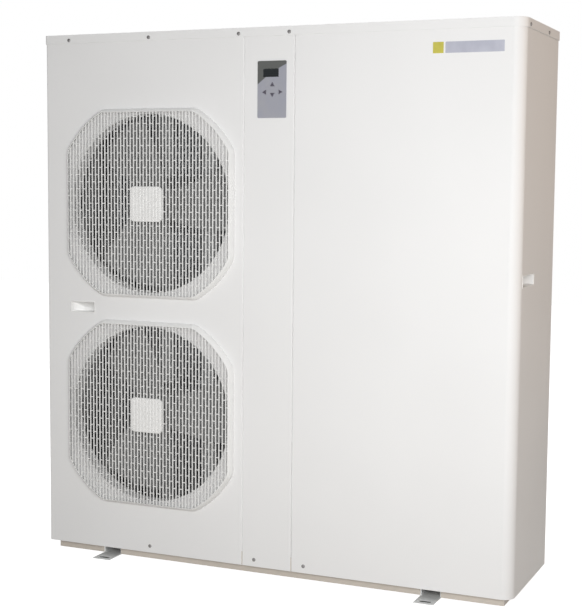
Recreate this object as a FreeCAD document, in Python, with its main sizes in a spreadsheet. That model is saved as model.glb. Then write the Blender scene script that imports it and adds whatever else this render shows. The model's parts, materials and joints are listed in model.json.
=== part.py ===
import FreeCAD, Part
import Sketcher
import math
import os
import re

# Pool heat pump with two fans one above the other. Millimetres, +Z up, the front faces -Y.
# The origin lies on the ground under the middle of the casing.

SIZES = [
    ("casing_width", 1165, "over the left and right panels"),
    ("casing_depth", 310, "over the front and rear panels"),
    ("overall_height", 1250, "from the ground to the top of the cover"),
    ("plinth_height", 20, "lower edge of the panels above the ground"),
    ("panel_sheet", 1, "steel of the panels"),
    ("panel_return", 12, "folded edges of the panels"),
    ("side_return", 40, "deep left fold of the fan panel"),
    ("corner_radius", 26, "bent front right corner of the service panel"),
    ("edge_radius", 5, "front left corner of the fan panel"),
    ("seam_gap", 1.5, "between neighbouring front panels"),
    ("fan_seam_x", -56.5, "seam between the fan panel and the control strip"),
    ("service_seam_x", 67.5, "seam between the control strip and the service panel"),
    ("seat_gap", 0.3, "clearance between parts that are slid together"),
    ("lid_sheet", 1, "steel of the top cover"),
    ("lid_lip", 20, "height of the top cover's rim"),
    ("lid_overlap", 2, "the rim stands this far outside the panels"),
    ("tray_sheet", 1.5, "steel of the base tray"),
    ("tray_wall", 32, "upstand of the base tray behind the panels"),
    ("skirt_front_inset", 14, "skirt behind the front panels"),
    ("skirt_side_inset", 20, "skirt behind the side panels"),
    ("skirt_clearance", 2, "skirt above the ground"),
    ("drain_x", -300, "condensate drain"),
    ("drain_y", 20, "condensate drain"),
    ("drain_radius", 12.5, "condensate drain"),
    ("bead_width", 10, "stamped stiffening beads of the tray"),
    ("bead_height", 4, "stamped stiffening beads of the tray"),
    ("bead_front_y", -70, "front bead"),
    ("bead_rear_y", 82, "rear bead"),
    ("bead_inset", 70, "beads inside the fan compartment's walls"),
    ("fold_radius", 2, "folds at the seams"),
    ("foot_bolt_y", 95, "bolts of the foot rails either side of the middle"),
    ("foot_bolt_radius", 6.5, "bolt heads across the corners"),
    ("foot_bolt_height", 5, "bolt heads"),
    ("rail_left_x", -412.5, "left foot rail"),
    ("rail_spacing", 810, "between the foot rails"),
    ("rail_width", 46, "channel of a foot rail"),
    ("rail_sheet", 2, "steel of the foot rails"),
    ("rail_tongue", 40, "tongue in front of the panels"),
    ("rail_flange", 14, "welding flanges of the channel"),
    ("slot_radius", 6, "half width of a floor slot"),
    ("slot_run", 8, "half distance between the round ends of a floor slot"),
    ("slot_inset", 16, "slot behind the end of the tongue"),
    ("fan_x", -300.5, "axis of both fans"),
    ("fan_low_z", 355, "axis of the lower fan"),
    ("fan_spacing", 498, "between the two fan axes"),
    ("throat_radius", 209, "inner radius of the air rings"),
    ("throat_depth", 34, "air rings behind the front face"),
    ("guard_half", 221.5, "half width of a fan guard"),
    ("guard_radius", 254, "rounded corners of a fan guard"),
    ("guard_chords", 4, "straight pieces that each rounded corner is drawn with"),
    ("guard_depth", 16, "fan guard in front of the panel"),
    ("guard_slope", 13, "width of the sloping rim"),
    ("guard_foot", 1, "upright foot of that rim"),
    ("guard_wall", 2.5, "moulded wall of the guard"),
    ("grille_margin", 3, "plain edge inside the sloping rim"),
    ("slat_pitch", 17.28, "distance between the guard's vertical slats"),
    ("slat_gap", 10.2, "open width between two slats"),
    ("bridge_pitch", 205, "distance between the cross pieces of one gap"),
    ("bridge_width", 4, "cross pieces between the slats"),
    ("badge_pad_half", 41, "half width of the guard's plain centre pad"),
    ("badge_pad_rise", 1.5, "centre pad in front of the slats"),
    ("impeller_radius", 202, "over the blade tips"),
    ("impeller_front", 43, "blade fronts behind the front face"),
    ("impeller_depth", 62, "axial depth of the blades"),
    ("blade_count", 3, "blades of an impeller"),
    ("blade_sheet", 3, "thickness of a blade"),
    ("blade_camber", 9, "curve of a blade over its chord"),
    ("blade_sweep", 34, "the tip leans forward by this much"),
    ("blade_root_width", 72, "blade across the hub"),
    ("blade_tip_width", 190, "blade across the tip"),
    ("hub_radius", 48, "outside of the hub"),
    ("shaft_radius", 6, "fan shafts"),
    ("shaft_clearance", 0.05, "running clearance round a shaft"),
    ("nut_radius", 11, "across the corners of a hub nut"),
    ("nut_height", 8, "hub nuts"),
    ("motor_radius", 62, "fan motors"),
    ("motor_length", 78, "fan motors"),
    ("motor_gap", 6, "between a hub and its motor"),
    ("motor_bore_depth", 34, "shaft inside its motor"),
    ("motor_screw_reach", 34, "motor screws from the axis, across and up"),
    ("mast_spacing", 120, "between the rails of the motor mast"),
    ("mast_width", 30, "rails of the motor mast"),
    ("mast_depth", 22, "rails of the motor mast"),
    ("mast_sheet", 2, "steel of the motor mast"),
    ("mast_plate_half", 60, "half height of a motor plate"),
    ("coil_depth", 38, "fin block from face to face"),
    ("coil_left_gap", 8.5, "coil behind the left guard face"),
    ("coil_rear_gap", 9, "coil behind the rear guard face"),
    ("coil_bend", 62, "outer bend of the coil"),
    ("coil_top_gap", 14, "above the coil"),
    ("coil_end_sheet", 1.5, "tube sheet at the coil's end"),
    ("coil_end_margin", 3, "tube sheet past the fins"),
    ("header_radius", 11, "vapour header of the coil"),
    ("header_gap", 14, "header beside the tube sheet"),
    ("header_low_z", 90, "foot of the header"),
    ("header_top_z", 760, "top of the header"),
    ("header_bracket", 12, "square arms between the tube sheet and the header"),
    ("post_flange", 35, "rear left corner post"),
    ("wire_size", 3, "wires of the coil guards"),
    ("wire_frame", 6, "edge bars of the coil guards"),
    ("wire_pitch_x", 118, "upright wires of the coil guards"),
    ("wire_pitch_z", 170, "cross wires of the coil guards"),
    ("front_grip_x", -516.5, "left end of the front hand hold"),
    ("front_grip_z", 591, "lower edge of the front hand hold"),
    ("front_grip_width", 65.5, "front hand hold"),
    ("side_grip_y", -128, "front end of the side hand hold"),
    ("side_grip_z", 689, "lower edge of the side hand hold"),
    ("side_grip_width", 100, "side hand hold"),
    ("grip_height", 25, "both hand holds"),
    ("grip_depth", 30, "both hand holds"),
    ("grip_wall", 1.8, "moulded wall of a hand hold"),
    ("grip_rim", 2.2, "rim round a hand hold"),
    ("grip_rim_height", 1, "rim in front of the panel"),
    ("plate_x", -22, "left edge of the control plate"),
    ("plate_drop", 75, "control plate below the top"),
    ("plate_width", 70, "control plate"),
    ("plate_height", 126, "control plate"),
    ("plate_thickness", 2, "control plate"),
    ("plate_corner", 3, "rounded corners of the control plate"),
    ("window_inset", 13.8, "display window from the plate's left edge"),
    ("window_drop", 17.1, "display window below the plate's upper edge"),
    ("window_width", 37.8, "display window"),
    ("window_height", 18.5, "display window"),
    ("window_rise", 0.3, "window in front of the plate"),
    ("key_radius", 6, "arrow keys from the middle to a corner"),
    ("key_clearance", 0.25, "round each key"),
    ("key_rise", 1.2, "keys in front of the plate"),
    ("key_length", 7.4, "keys from front to back"),
    ("key_inset", 36.3, "key cross from the plate's left edge"),
    ("key_drop", 69, "key cross below the plate's upper edge"),
    ("key_side_reach", 18.5, "left and right keys from the middle"),
    ("key_up_reach", 16, "upper key from the middle"),
    ("key_down_reach", 5, "lower key below the middle"),
    ("housing_margin", 4, "controller box inside the plate's edge"),
    ("housing_depth", 32, "controller box behind the plate"),
    ("housing_wall", 2, "controller box"),
    ("board_thickness", 1.6, "circuit board"),
    ("board_depth", 12, "circuit board behind the plate"),
    ("badge_inset", 43, "blank badge from the right side"),
    ("badge_drop", 46.5, "blank badge below the top"),
    ("badge_square", 23.5, "square part of the blank badge"),
    ("badge_gap", 4, "between the square and the strip"),
    ("badge_strip", 127, "length of the strip"),
    ("badge_height", 23.5, "strip"),
    ("badge_thickness", 0.6, "badge"),
    ("head_radius", 4.2, "across the corners of a screw head"),
    ("head_height", 2.2, "screw heads"),
    ("lid_screw_drop", 13, "cover screws below the top"),
    ("lid_screw_inset", 66, "outermost cover screws from the sides"),
    ("side_screw_front", 35, "front cover screw of each side"),
    ("side_screw_rear", 105, "rear cover screw of each side"),
    ("screw_before_seam", 13, "cover screws left of a seam"),
    ("screw_past_seam", 31, "lower screws right of a seam"),
    ("panel_screw_rise", 16, "lower screws above the panels' edge"),
    ("rear_screw_inset", 42, "lower screws of the rear panel from its sides"),
    ("partition_sheet", 1, "bulkhead between the compartments"),
    ("partition_front_gap", 5, "bulkhead behind the front face"),
    ("box_width", 440, "electrical box"),
    ("box_height", 335, "electrical box"),
    ("box_depth", 60, "electrical box"),
    ("box_drop", 35, "electrical box below the top"),
    ("box_floor", 0.4, "contactor and capacitors above the box's floor, as a share of its height"),
    ("contactor_share", 0.55, "contactor from the box's left side, as a share of its width"),
    ("contactor_step", 17, "the narrower front of the contactor starts this far in"),
    ("contactor_nose", 20, "depth of that front"),
    ("terminal_inset", 88, "terminal block from the box's left side"),
    ("terminal_slot", 15, "wire slots of the terminal block"),
    ("terminal_slot_depth", 10, "wire slots of the terminal block"),
    ("box_back_y", -50, "electrical box"),
    ("terminal_width", 130, "terminal block"),
    ("terminal_height", 32, "terminal block"),
    ("terminal_depth", 26, "terminal block"),
    ("terminal_poles", 6, "terminal block"),
    ("contactor_width", 56, "contactor"),
    ("contactor_height", 76, "contactor"),
    ("contactor_depth", 50, "contactor"),
    ("capacitor_width", 38, "capacitors"),
    ("capacitor_depth", 28, "capacitors"),
    ("capacitor_height", 62, "capacitors"),
    ("capacitor_pitch", 52, "capacitors"),
    ("compressor_x", 150, "compressor"),
    ("compressor_y", 8, "compressor"),
    ("compressor_radius", 72, "compressor"),
    ("compressor_height", 375, "compressor"),
    ("compressor_crown", 24, "stepped crown of the compressor"),
    ("crown_radius", 50, "stepped crown of the compressor"),
    ("compressor_foot_reach", 92, "rubber feet from the compressor's axis"),
    ("compressor_plate", 4, "foot plate of the compressor"),
    ("grommet_radius", 14, "rubber feet"),
    ("grommet_height", 18, "rubber feet"),
    ("accumulator_x", 275, "suction accumulator"),
    ("accumulator_y", -85, "suction accumulator"),
    ("accumulator_radius", 38, "suction accumulator"),
    ("accumulator_low_z", 62, "suction accumulator"),
    ("accumulator_height", 240, "suction accumulator"),
    ("accumulator_stud", 8, "stud under the accumulator"),
    ("condenser_x", 400, "water heat exchanger"),
    ("condenser_y", 20, "water heat exchanger"),
    ("condenser_radius", 86, "water heat exchanger"),
    ("condenser_low_z", 52, "water heat exchanger"),
    ("condenser_height", 700, "water heat exchanger"),
    ("condenser_foot_half", 50, "feet of the heat exchanger from its axis"),
    ("condenser_foot", 20, "width of those feet"),
    ("water_low_z", 170, "water inlet"),
    ("water_spacing", 420, "between the water unions"),
    ("port_radius", 34, "water ports of the heat exchanger"),
    ("port_reach", 100, "face of the water ports from the exchanger's axis"),
    ("pipe_radius", 27, "water pipes inside"),
    ("pipe_bore", 22, "water pipes inside"),
    ("socket_bore", 25.1, "socket for a 50 mm pipe"),
    ("socket_length", 30, "depth of that socket"),
    ("union_radius", 38, "union nut across the ribs"),
    ("union_gap", 2, "union behind the rear panel"),
    ("panel_hole", 32, "water holes in the rear panel"),
    ("switch_size", 28, "flow switch"),
    ("switch_height", 46, "flow switch"),
    ("gland_inset", 62.5, "cable glands from the right side"),
    ("gland_z", 960, "lower cable gland"),
    ("gland_pitch", 45, "between the cable glands"),
    ("gland_bore", 7, "cable glands"),
    ("gland_thread", 10, "hole in the panel behind a gland"),
    ("gland_hex", 15, "across the corners"),
    ("gland_length", 20, "outside the panel"),
    ("valve_radius", 16, "reversing valve"),
    ("valve_half", 62, "half length of the reversing valve"),
    ("valve_z", 640, "reversing valve"),
    ("valve_y", 30, "reversing valve"),
    ("port_pitch", 40, "ports of the reversing valve"),
    ("gas_pipe", 8, "radius of the vapour pipes"),
    ("liquid_pipe_radius", 5, "radius of the liquid pipe"),
    ("pipe_bend", 20, "corners of the pipes, cut back by this much"),
    ("gas_rise", 820, "highest vapour pipes"),
    ("suction_rise", 740, "suction pipe"),
    ("drier_radius", 16, "filter drier"),
    ("drier_length", 110, "filter drier"),
    ("drier_x", 150, "filter drier"),
    ("liquid_y", 98, "liquid pipe"),
    ("liquid_z", 72, "liquid pipe"),
    ("liquid_riser_x", -8, "liquid pipe"),
    ("expansion_z", 300, "expansion valve"),
    ("expansion_radius", 13, "expansion valve"),
    ("expansion_height", 48, "expansion valve"),
]

# Places that follow from the sizes, written as expressions of the sheet's cells.
LEFT = "(-casing_width / 2)"
RIGHT = "(casing_width / 2)"
FRONT = "(-casing_depth / 2)"
REAR = "(casing_depth / 2)"
PANEL_TOP = "(overall_height - lid_sheet)"
TRAY_UNDER = "(plinth_height + panel_sheet)"
FLOOR = "(plinth_height + panel_sheet + tray_sheet)"
RAIL_RIGHT_X = "(rail_left_x + rail_spacing)"
FAN_HIGH_Z = "(fan_low_z + fan_spacing)"
PARTITION_X = "(fan_seam_x + seam_gap / 2 + panel_sheet + seat_gap)"
COIL_REAR_OUT = "(casing_depth / 2 - coil_rear_gap)"
COIL_REAR_IN = "(casing_depth / 2 - coil_rear_gap - coil_depth)"
COIL_END_X = f"({PARTITION_X} - coil_end_sheet)"
REAR_PANEL_X = f"({PARTITION_X} + 2 * seat_gap + 4 * panel_sheet)"
MOTOR_FRONT = "(-casing_depth / 2 + impeller_front + impeller_depth + motor_gap)"
MAST_FRONT = f"({MOTOR_FRONT} + motor_length)"
HEADER_X = f"({PARTITION_X} + header_gap + header_radius)"
HEADER_Y = f"(({COIL_REAR_OUT} + {COIL_REAR_IN}) / 2)"
CROWN = "(plinth_height + panel_sheet + tray_sheet + grommet_height + compressor_plate + compressor_height)"
PLATE_TOP = "(overall_height - plate_drop)"
PLATE_Z = "(overall_height - plate_drop - plate_height)"
WINDOW_X = "(plate_x + window_inset)"
WINDOW_Z = "(overall_height - plate_drop - window_drop - window_height)"
KEY_X = "(plate_x + key_inset)"
KEY_Z = "(overall_height - plate_drop - key_drop)"
BADGE_X = "(casing_width / 2 - badge_inset - badge_strip - badge_gap - badge_square)"
BADGE_Z = "(overall_height - badge_drop - badge_height)"
BOX_TOP = "(overall_height - box_drop)"
BOX_Z = "(overall_height - box_drop - box_height)"
GLAND_X = "(casing_width / 2 - gland_inset)"

document = FreeCAD.newDocument("PoolHeatPump")
sheet = document.addObject("Spreadsheet::Sheet", "Sizes")
for row, (alias, size, note) in enumerate(SIZES, 1):
    sheet.set(f"A{row}", alias)
    sheet.set(f"B{row}", str(size))
    sheet.set(f"C{row}", note)
    sheet.setAlias(f"B{row}", alias)
document.recompute()

ALIASES = {alias for alias, size, note in SIZES}
PLANES = {"x": "YZ_Plane", "y": "XZ_Plane", "z": "XY_Plane"}
made = []


def bound(text):
    """The expression with every alias written as a cell of the sheet."""
    return re.sub(r"[a-z_]+", lambda word: "Sizes." * (word[0] in ALIASES) + word[0], str(text))


def number(text):
    """The present value of an expression."""
    return float(sheet.evalExpression(bound(text)))


def new_body(label):
    body = document.addObject("PartDesign::Body", label)
    body.Label = label
    made.append(body)
    return body


def new_sketch(body, axis, place):
    """A sketch square to an axis. Its plane stands at the place along that axis."""
    sketch = body.newObject("Sketcher::SketchObject", "Sketch")
    role = PLANES[axis]
    plane = next(feature for feature in body.Origin.OriginFeatures if feature.Role == role)
    sketch.AttachmentSupport = (plane, [""])
    sketch.MapMode = "FlatFace"
    if axis == "y":
        place = f"-({place})"
    sketch.setExpression("AttachmentOffset.Base.z", bound(place))
    return sketch


def pin_point(sketch, geometry, point, across, along):
    """Ties one point of a sketch to its two expressions."""
    for kind, text in (("DistanceX", across), ("DistanceY", along)):
        index = sketch.addConstraint(Sketcher.Constraint(kind, -1, 1, geometry, point, number(text)))
        sketch.setExpression(f"Constraints[{index}]", bound(text))


def draw_polygon(sketch, points):
    first = sketch.GeometryCount
    corners = [FreeCAD.Vector(number(across), number(along), 0) for across, along in points]
    count = len(corners)
    for index in range(count):
        sketch.addGeometry(Part.LineSegment(corners[index], corners[(index + 1) % count]))
    for index in range(count):
        following = first + (index + 1) % count
        sketch.addConstraint(Sketcher.Constraint("Coincident", first + index, 2, following, 1))
    for index, (across, along) in enumerate(points):
        pin_point(sketch, first + index, 1, across, along)


def draw_circle(sketch, across, along, radius):
    centre = FreeCAD.Vector(number(across), number(along), 0)
    circle = Part.Circle(centre, FreeCAD.Vector(0, 0, 1), number(radius))
    geometry = sketch.addGeometry(circle)
    pin_point(sketch, geometry, 3, across, along)
    index = sketch.addConstraint(Sketcher.Constraint("Radius", geometry, number(radius)))
    sketch.setExpression(f"Constraints[{index}]", bound(radius))


def draw_slot(sketch, across, along, run, radius):
    """A round-ended slot that runs along the sketch's first axis."""
    x, y, reach, r = (number(text) for text in (across, along, run, radius))
    up = FreeCAD.Vector(0, 0, 1)
    quarter = math.pi / 2
    left_end = Part.Circle(FreeCAD.Vector(x - reach, y, 0), up, r)
    right_end = Part.Circle(FreeCAD.Vector(x + reach, y, 0), up, r)
    corners = [FreeCAD.Vector(x + side * reach, y + rise * r, 0)
               for side, rise in ((-1, -1), (1, -1), (1, 1), (-1, 1))]
    left = sketch.addGeometry(Part.ArcOfCircle(left_end, quarter, 3 * quarter))
    right = sketch.addGeometry(Part.ArcOfCircle(right_end, -quarter, quarter))
    low = sketch.addGeometry(Part.LineSegment(corners[0], corners[1]))
    high = sketch.addGeometry(Part.LineSegment(corners[2], corners[3]))
    for one, other in ((left, low), (low, right), (right, high), (high, left)):
        sketch.addConstraint(Sketcher.Constraint("Tangent", one, 2, other, 1))
    pin_point(sketch, left, 3, f"{across} - {run}", along)
    pin_point(sketch, right, 3, f"{across} + {run}", along)
    index = sketch.addConstraint(Sketcher.Constraint("Radius", left, r))
    sketch.setExpression(f"Constraints[{index}]", bound(radius))


def draw(sketch, loops):
    for loop in loops:
        if loop[0] == "circle":
            draw_circle(sketch, *loop[1:])
        elif loop[0] == "slot":
            draw_slot(sketch, *loop[1:])
        else:
            draw_polygon(sketch, loop)


def rectangle(low_across, high_across, low_along, high_along):
    return [(low_across, low_along), (high_across, low_along),
            (high_across, high_along), (low_across, high_along)]


def regular(sides, across, along, radius, turn=0):
    """A regular outline about a point. Its first corner lies at the turn, in degrees."""
    corners = []
    for step in range(sides):
        angle = turn + 360 // sides * step
        corners.append((f"{across} + ({radius}) * cos({angle})", f"{along} + ({radius}) * sin({angle})"))
    return corners


def hexagon(across, along, radius):
    return regular(6, across, along, radius)


def add(body, axis, low, high, *loops):
    """Adds the loops as a prism between two places along an axis."""
    sketch = new_sketch(body, axis, high if axis == "y" else low)
    draw(sketch, loops)
    pad = body.newObject("PartDesign::Pad", "Pad")
    pad.Profile = sketch
    pad.setExpression("Length", bound(f"{high} - ({low})"))
    return pad


def cut(body, axis, low, high, *loops):
    """Cuts the loops between two places along an axis."""
    sketch = new_sketch(body, axis, low if axis == "y" else high)
    draw(sketch, loops)
    pocket = body.newObject("PartDesign::Pocket", "Pocket")
    pocket.Profile = sketch
    pocket.setExpression("Length", bound(f"{high} - ({low})"))
    return pocket


def round_edges(body, radius, chosen):
    """Fillets the edges of the body's last feature that the test picks."""
    document.recompute()
    base = body.Tip
    names = [f"Edge{index}" for index, edge in enumerate(base.Shape.Edges, 1) if chosen(edge)]
    fillet = body.newObject("PartDesign::Fillet", "Fillet")
    fillet.Base = (base, names)
    fillet.setExpression("Radius", bound(radius))


def hollow(body, wall, chosen):
    """Leaves a wall inside the last feature and opens the faces that the test picks."""
    document.recompute()
    base = body.Tip
    names = [f"Face{index}" for index, face in enumerate(base.Shape.Faces, 1) if chosen(face)]
    shell = body.newObject("PartDesign::Thickness", "Shell")
    shell.Base = (base, names)
    shell.setExpression("Value", bound(wall))
    shell.Join = 0
    shell.Reversed = True
    return shell


def runs_along(edge, axis):
    if edge.Curve.TypeId != "Part::GeomLine":
        return False
    direction = edge.Curve.Direction
    return abs(getattr(direction, axis)) > 0.999


def faces_towards(face, axis, sign):
    if face.Surface.TypeId != "Part::GeomPlane":
        return False
    return sign * getattr(face.normalAt(0, 0), axis) > 0.999


def make_base_tray():
    body = new_body("base_tray")
    side = "(casing_width / 2 - panel_sheet - seat_gap)"
    end = "(casing_depth / 2 - panel_sheet - seat_gap)"
    tall = "plinth_height + tray_wall"
    add(body, "z", TRAY_UNDER, tall, rectangle(f"-{side}", side, f"-{end}", end))
    round_edges(body, "corner_radius - panel_sheet - seat_gap",
                lambda edge: runs_along(edge, "z") and edge.CenterOfMass.x > 0 and edge.CenterOfMass.y < 0)
    round_edges(body, "edge_radius - panel_sheet - seat_gap",
                lambda edge: runs_along(edge, "z") and edge.CenterOfMass.x < 0)
    hollow(body, "tray_sheet", lambda face: faces_towards(face, "z", 1))
    skirt_x = "(casing_width / 2 - skirt_side_inset)"
    skirt_y = "(casing_depth / 2 - skirt_front_inset)"
    inner_x = f"({skirt_x} - tray_sheet)"
    inner_y = f"({skirt_y} - tray_sheet)"
    add(body, "z", "skirt_clearance", TRAY_UNDER,
        rectangle(f"-{skirt_x}", skirt_x, f"-{skirt_y}", skirt_y),
        rectangle(f"-{inner_x}", inner_x, f"-{inner_y}", inner_y))
    for middle in ("rail_left_x", RAIL_RIGHT_X):
        half = "(rail_width / 2 + seat_gap)"
        cut(body, "z", "0", TRAY_UNDER, rectangle(f"{middle} - {half}", f"{middle} + {half}", FRONT, REAR))
    for bead in ("bead_front_y", "bead_rear_y"):
        add(body, "z", FLOOR, f"{FLOOR} + bead_height",
            rectangle(f"{LEFT} + bead_inset", "fan_seam_x - bead_inset / 2",
                      f"{bead} - bead_width / 2", f"{bead} + bead_width / 2"))
    cut(body, "z", TRAY_UNDER, FLOOR, ("circle", "drain_x", "drain_y", "drain_radius"))


def make_foot_rail(label, middle):
    """A galvanised channel, open upwards, whose floor sticks out at both ends as a slotted tongue."""
    body = new_body(label)
    half = "rail_width / 2"
    inside = "rail_width / 2 - rail_sheet"
    brim = "rail_width / 2 + rail_flange"
    under = f"{TRAY_UNDER} - rail_sheet"
    section = [(f"-{half}", "0"), (half, "0"), (half, under), (brim, under), (brim, TRAY_UNDER),
               (inside, TRAY_UNDER), (inside, "rail_sheet"), (f"-({inside})", "rail_sheet"),
               (f"-({inside})", TRAY_UNDER), (f"-({brim})", TRAY_UNDER), (f"-({brim})", under),
               (f"-{half}", under)]
    section = [(f"{middle} + {across}", along) for across, along in section]
    end = "(casing_depth / 2 - skirt_front_inset - tray_sheet - seat_gap)"
    add(body, "y", f"-{end}", end, section)
    tongue = f"({REAR} + rail_tongue)"
    add(body, "z", "0", "rail_sheet",
        rectangle(f"{middle} - {half}", f"{middle} + {half}", f"-{tongue}", tongue))
    for sign in ("-", ""):
        place = f"{sign}({REAR} + rail_tongue - slot_inset)"
        cut(body, "z", "0", "rail_sheet", ("slot", middle, place, "slot_run", "slot_radius"))


def fold_pan(body, low_x, high_x, low_y, high_y, folds, open_towards):
    """A sheet pan as tall as the panels. Folds pairs a bend radius with the corners that have it."""
    add(body, "z", "plinth_height", PANEL_TOP, rectangle(low_x, high_x, low_y, high_y))
    for radius, corners in folds:
        places = [(number(across), number(along)) for across, along in corners]
        round_edges(body, radius, lambda edge: runs_along(edge, "z") and stands_at(edge, places))
    hollow(body, "panel_sheet", lambda face: faces_towards(face, "y", open_towards))


def notch_folds(body, low_x, high_x, low_y, high_y):
    """Cuts the upright folds back over the base tray's wall."""
    top = "plinth_height + tray_wall + seat_gap"
    cut(body, "z", TRAY_UNDER, top, rectangle(low_x, high_x, low_y, high_y))


def stands_at(edge, places):
    middle = edge.CenterOfMass
    return any(math.hypot(middle.x - x, middle.y - y) < 0.01 for x, y in places)


def make_fan_panel():
    body = new_body("fan_panel")
    right = "fan_seam_x - seam_gap / 2"
    folds = [("edge_radius", [(LEFT, FRONT)]), ("fold_radius", [(right, FRONT)])]
    fold_pan(body, LEFT, right, FRONT, f"{FRONT} + panel_return", folds, 1)
    behind = f"{FRONT} + panel_sheet"
    notch_folds(body, f"{LEFT} + panel_sheet", right, behind, f"{FRONT} + panel_return")
    add(body, "z", "plinth_height", PANEL_TOP,
        rectangle(LEFT, f"{LEFT} + panel_sheet",
                  f"{FRONT} + panel_return - panel_sheet", f"{FRONT} + side_return"))
    for height in ("fan_low_z", FAN_HIGH_Z):
        cut(body, "y", FRONT, behind, ("circle", "fan_x", height, "throat_radius"))
        add(body, "y", behind, f"{FRONT} + throat_depth",
            ("circle", "fan_x", height, "throat_radius + panel_sheet"),
            ("circle", "fan_x", height, "throat_radius"))
    cut(body, "y", FRONT, behind,
        rectangle("front_grip_x", "front_grip_x + front_grip_width",
                  "front_grip_z", "front_grip_z + grip_height"))


def make_control_strip():
    body = new_body("control_strip")
    left = "fan_seam_x + seam_gap / 2"
    right = "service_seam_x - seam_gap / 2"
    folds = [("fold_radius", [(left, FRONT), (right, FRONT)])]
    fold_pan(body, left, right, FRONT, f"{FRONT} + panel_return", folds, 1)
    notch_folds(body, left, right, f"{FRONT} + panel_sheet", f"{FRONT} + panel_return")
    inset = "(housing_margin - 2 * seat_gap)"
    cut(body, "y", FRONT, f"{FRONT} + panel_sheet",
        rectangle(f"plate_x + {inset}", f"plate_x + plate_width - {inset}",
                  f"{PLATE_Z} + {inset}", f"{PLATE_TOP} - {inset}"))


def make_service_panel():
    """One sheet wraps from the seam round the front right corner to the rear edge."""
    body = new_body("service_panel")
    left = "service_seam_x + seam_gap / 2"
    folds = [("corner_radius", [(RIGHT, FRONT)]), ("fold_radius", [(left, FRONT)])]
    fold_pan(body, left, RIGHT, FRONT, REAR, folds, 1)
    notch_folds(body, left, f"{left} + fold_radius", f"{FRONT} + panel_sheet", f"{FRONT} + panel_return")
    cut(body, "z", "plinth_height", PANEL_TOP,
        rectangle(f"{left} - panel_sheet", f"{RIGHT} - panel_return",
                  f"{FRONT} + panel_return", f"{REAR} + panel_sheet"))
    cut(body, "z", "plinth_height", PANEL_TOP,
        rectangle(f"{RIGHT} - 2 * panel_return", f"{RIGHT} - panel_sheet",
                  f"{REAR} - panel_return - seat_gap", f"{REAR} + panel_sheet"))
    cut(body, "x", f"{RIGHT} - panel_sheet", RIGHT,
        rectangle("side_grip_y", "side_grip_y + side_grip_width",
                  "side_grip_z", "side_grip_z + grip_height"))


def make_top_cover():
    body = new_body("top_cover")
    side = "(casing_width / 2 + lid_overlap)"
    end = "(casing_depth / 2 + lid_overlap)"
    add(body, "z", "overall_height - lid_lip", "overall_height", rectangle(f"-{side}", side, f"-{end}", end))
    round_edges(body, "corner_radius + lid_overlap",
                lambda edge: runs_along(edge, "z") and edge.CenterOfMass.x > 0 and edge.CenterOfMass.y < 0)
    round_edges(body, "edge_radius + lid_overlap",
                lambda edge: runs_along(edge, "z") and edge.CenterOfMass.x < 0)
    hollow(body, "lid_sheet", lambda face: faces_towards(face, "z", -1))


def make_rear_panel():
    body = new_body("rear_panel")
    right = "casing_width / 2 - panel_sheet - seat_gap"
    fold_pan(body, REAR_PANEL_X, right, f"{REAR} - panel_return", REAR, [], -1)
    notch_folds(body, REAR_PANEL_X, right, f"{REAR} - panel_return", f"{REAR} - panel_sheet")
    for height in ("water_low_z", "water_low_z + water_spacing"):
        cut(body, "y", f"{REAR} - panel_sheet", REAR, ("circle", "condenser_x", height, "panel_hole"))
    for height in ("gland_z", "gland_z + gland_pitch"):
        cut(body, "y", f"{REAR} - panel_sheet", REAR, hexagon(GLAND_X, height, "gland_thread"))


def make_corner_post():
    body = new_body("rear_corner_post")
    arm_x = f"{LEFT} + post_flange"
    arm_y = f"{REAR} - post_flange"
    inside_x = f"{LEFT} + panel_sheet"
    inside_y = f"{REAR} - panel_sheet"
    section = [(LEFT, arm_y), (inside_x, arm_y), (inside_x, inside_y), (arm_x, inside_y),
               (arm_x, REAR), (LEFT, REAR)]
    add(body, "z", "plinth_height", PANEL_TOP, section)
    outer = [(number(LEFT), number(REAR))]
    inner = [(number(inside_x), number(inside_y))]
    round_edges(body, "edge_radius", lambda edge: runs_along(edge, "z") and stands_at(edge, outer))
    round_edges(body, "edge_radius - panel_sheet",
                lambda edge: runs_along(edge, "z") and stands_at(edge, inner))


def repeat(body, pitch, room):
    """Repeats the body's last pad along its own sketch's first axis as often as the room allows."""
    document.recompute()
    pad = body.Tip
    pattern = body.newObject("PartDesign::LinearPattern", "Pattern")
    pattern.Originals = [pad]
    pattern.Direction = (pad.Profile[0], ["H_Axis"])
    pattern.setExpression("Occurrences", bound(f"floor(({room}) / {pitch})"))
    pattern.setExpression("Length", bound(f"(floor(({room}) / {pitch}) - 1) * {pitch}"))
    body.Tip = pattern
    return pattern


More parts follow.
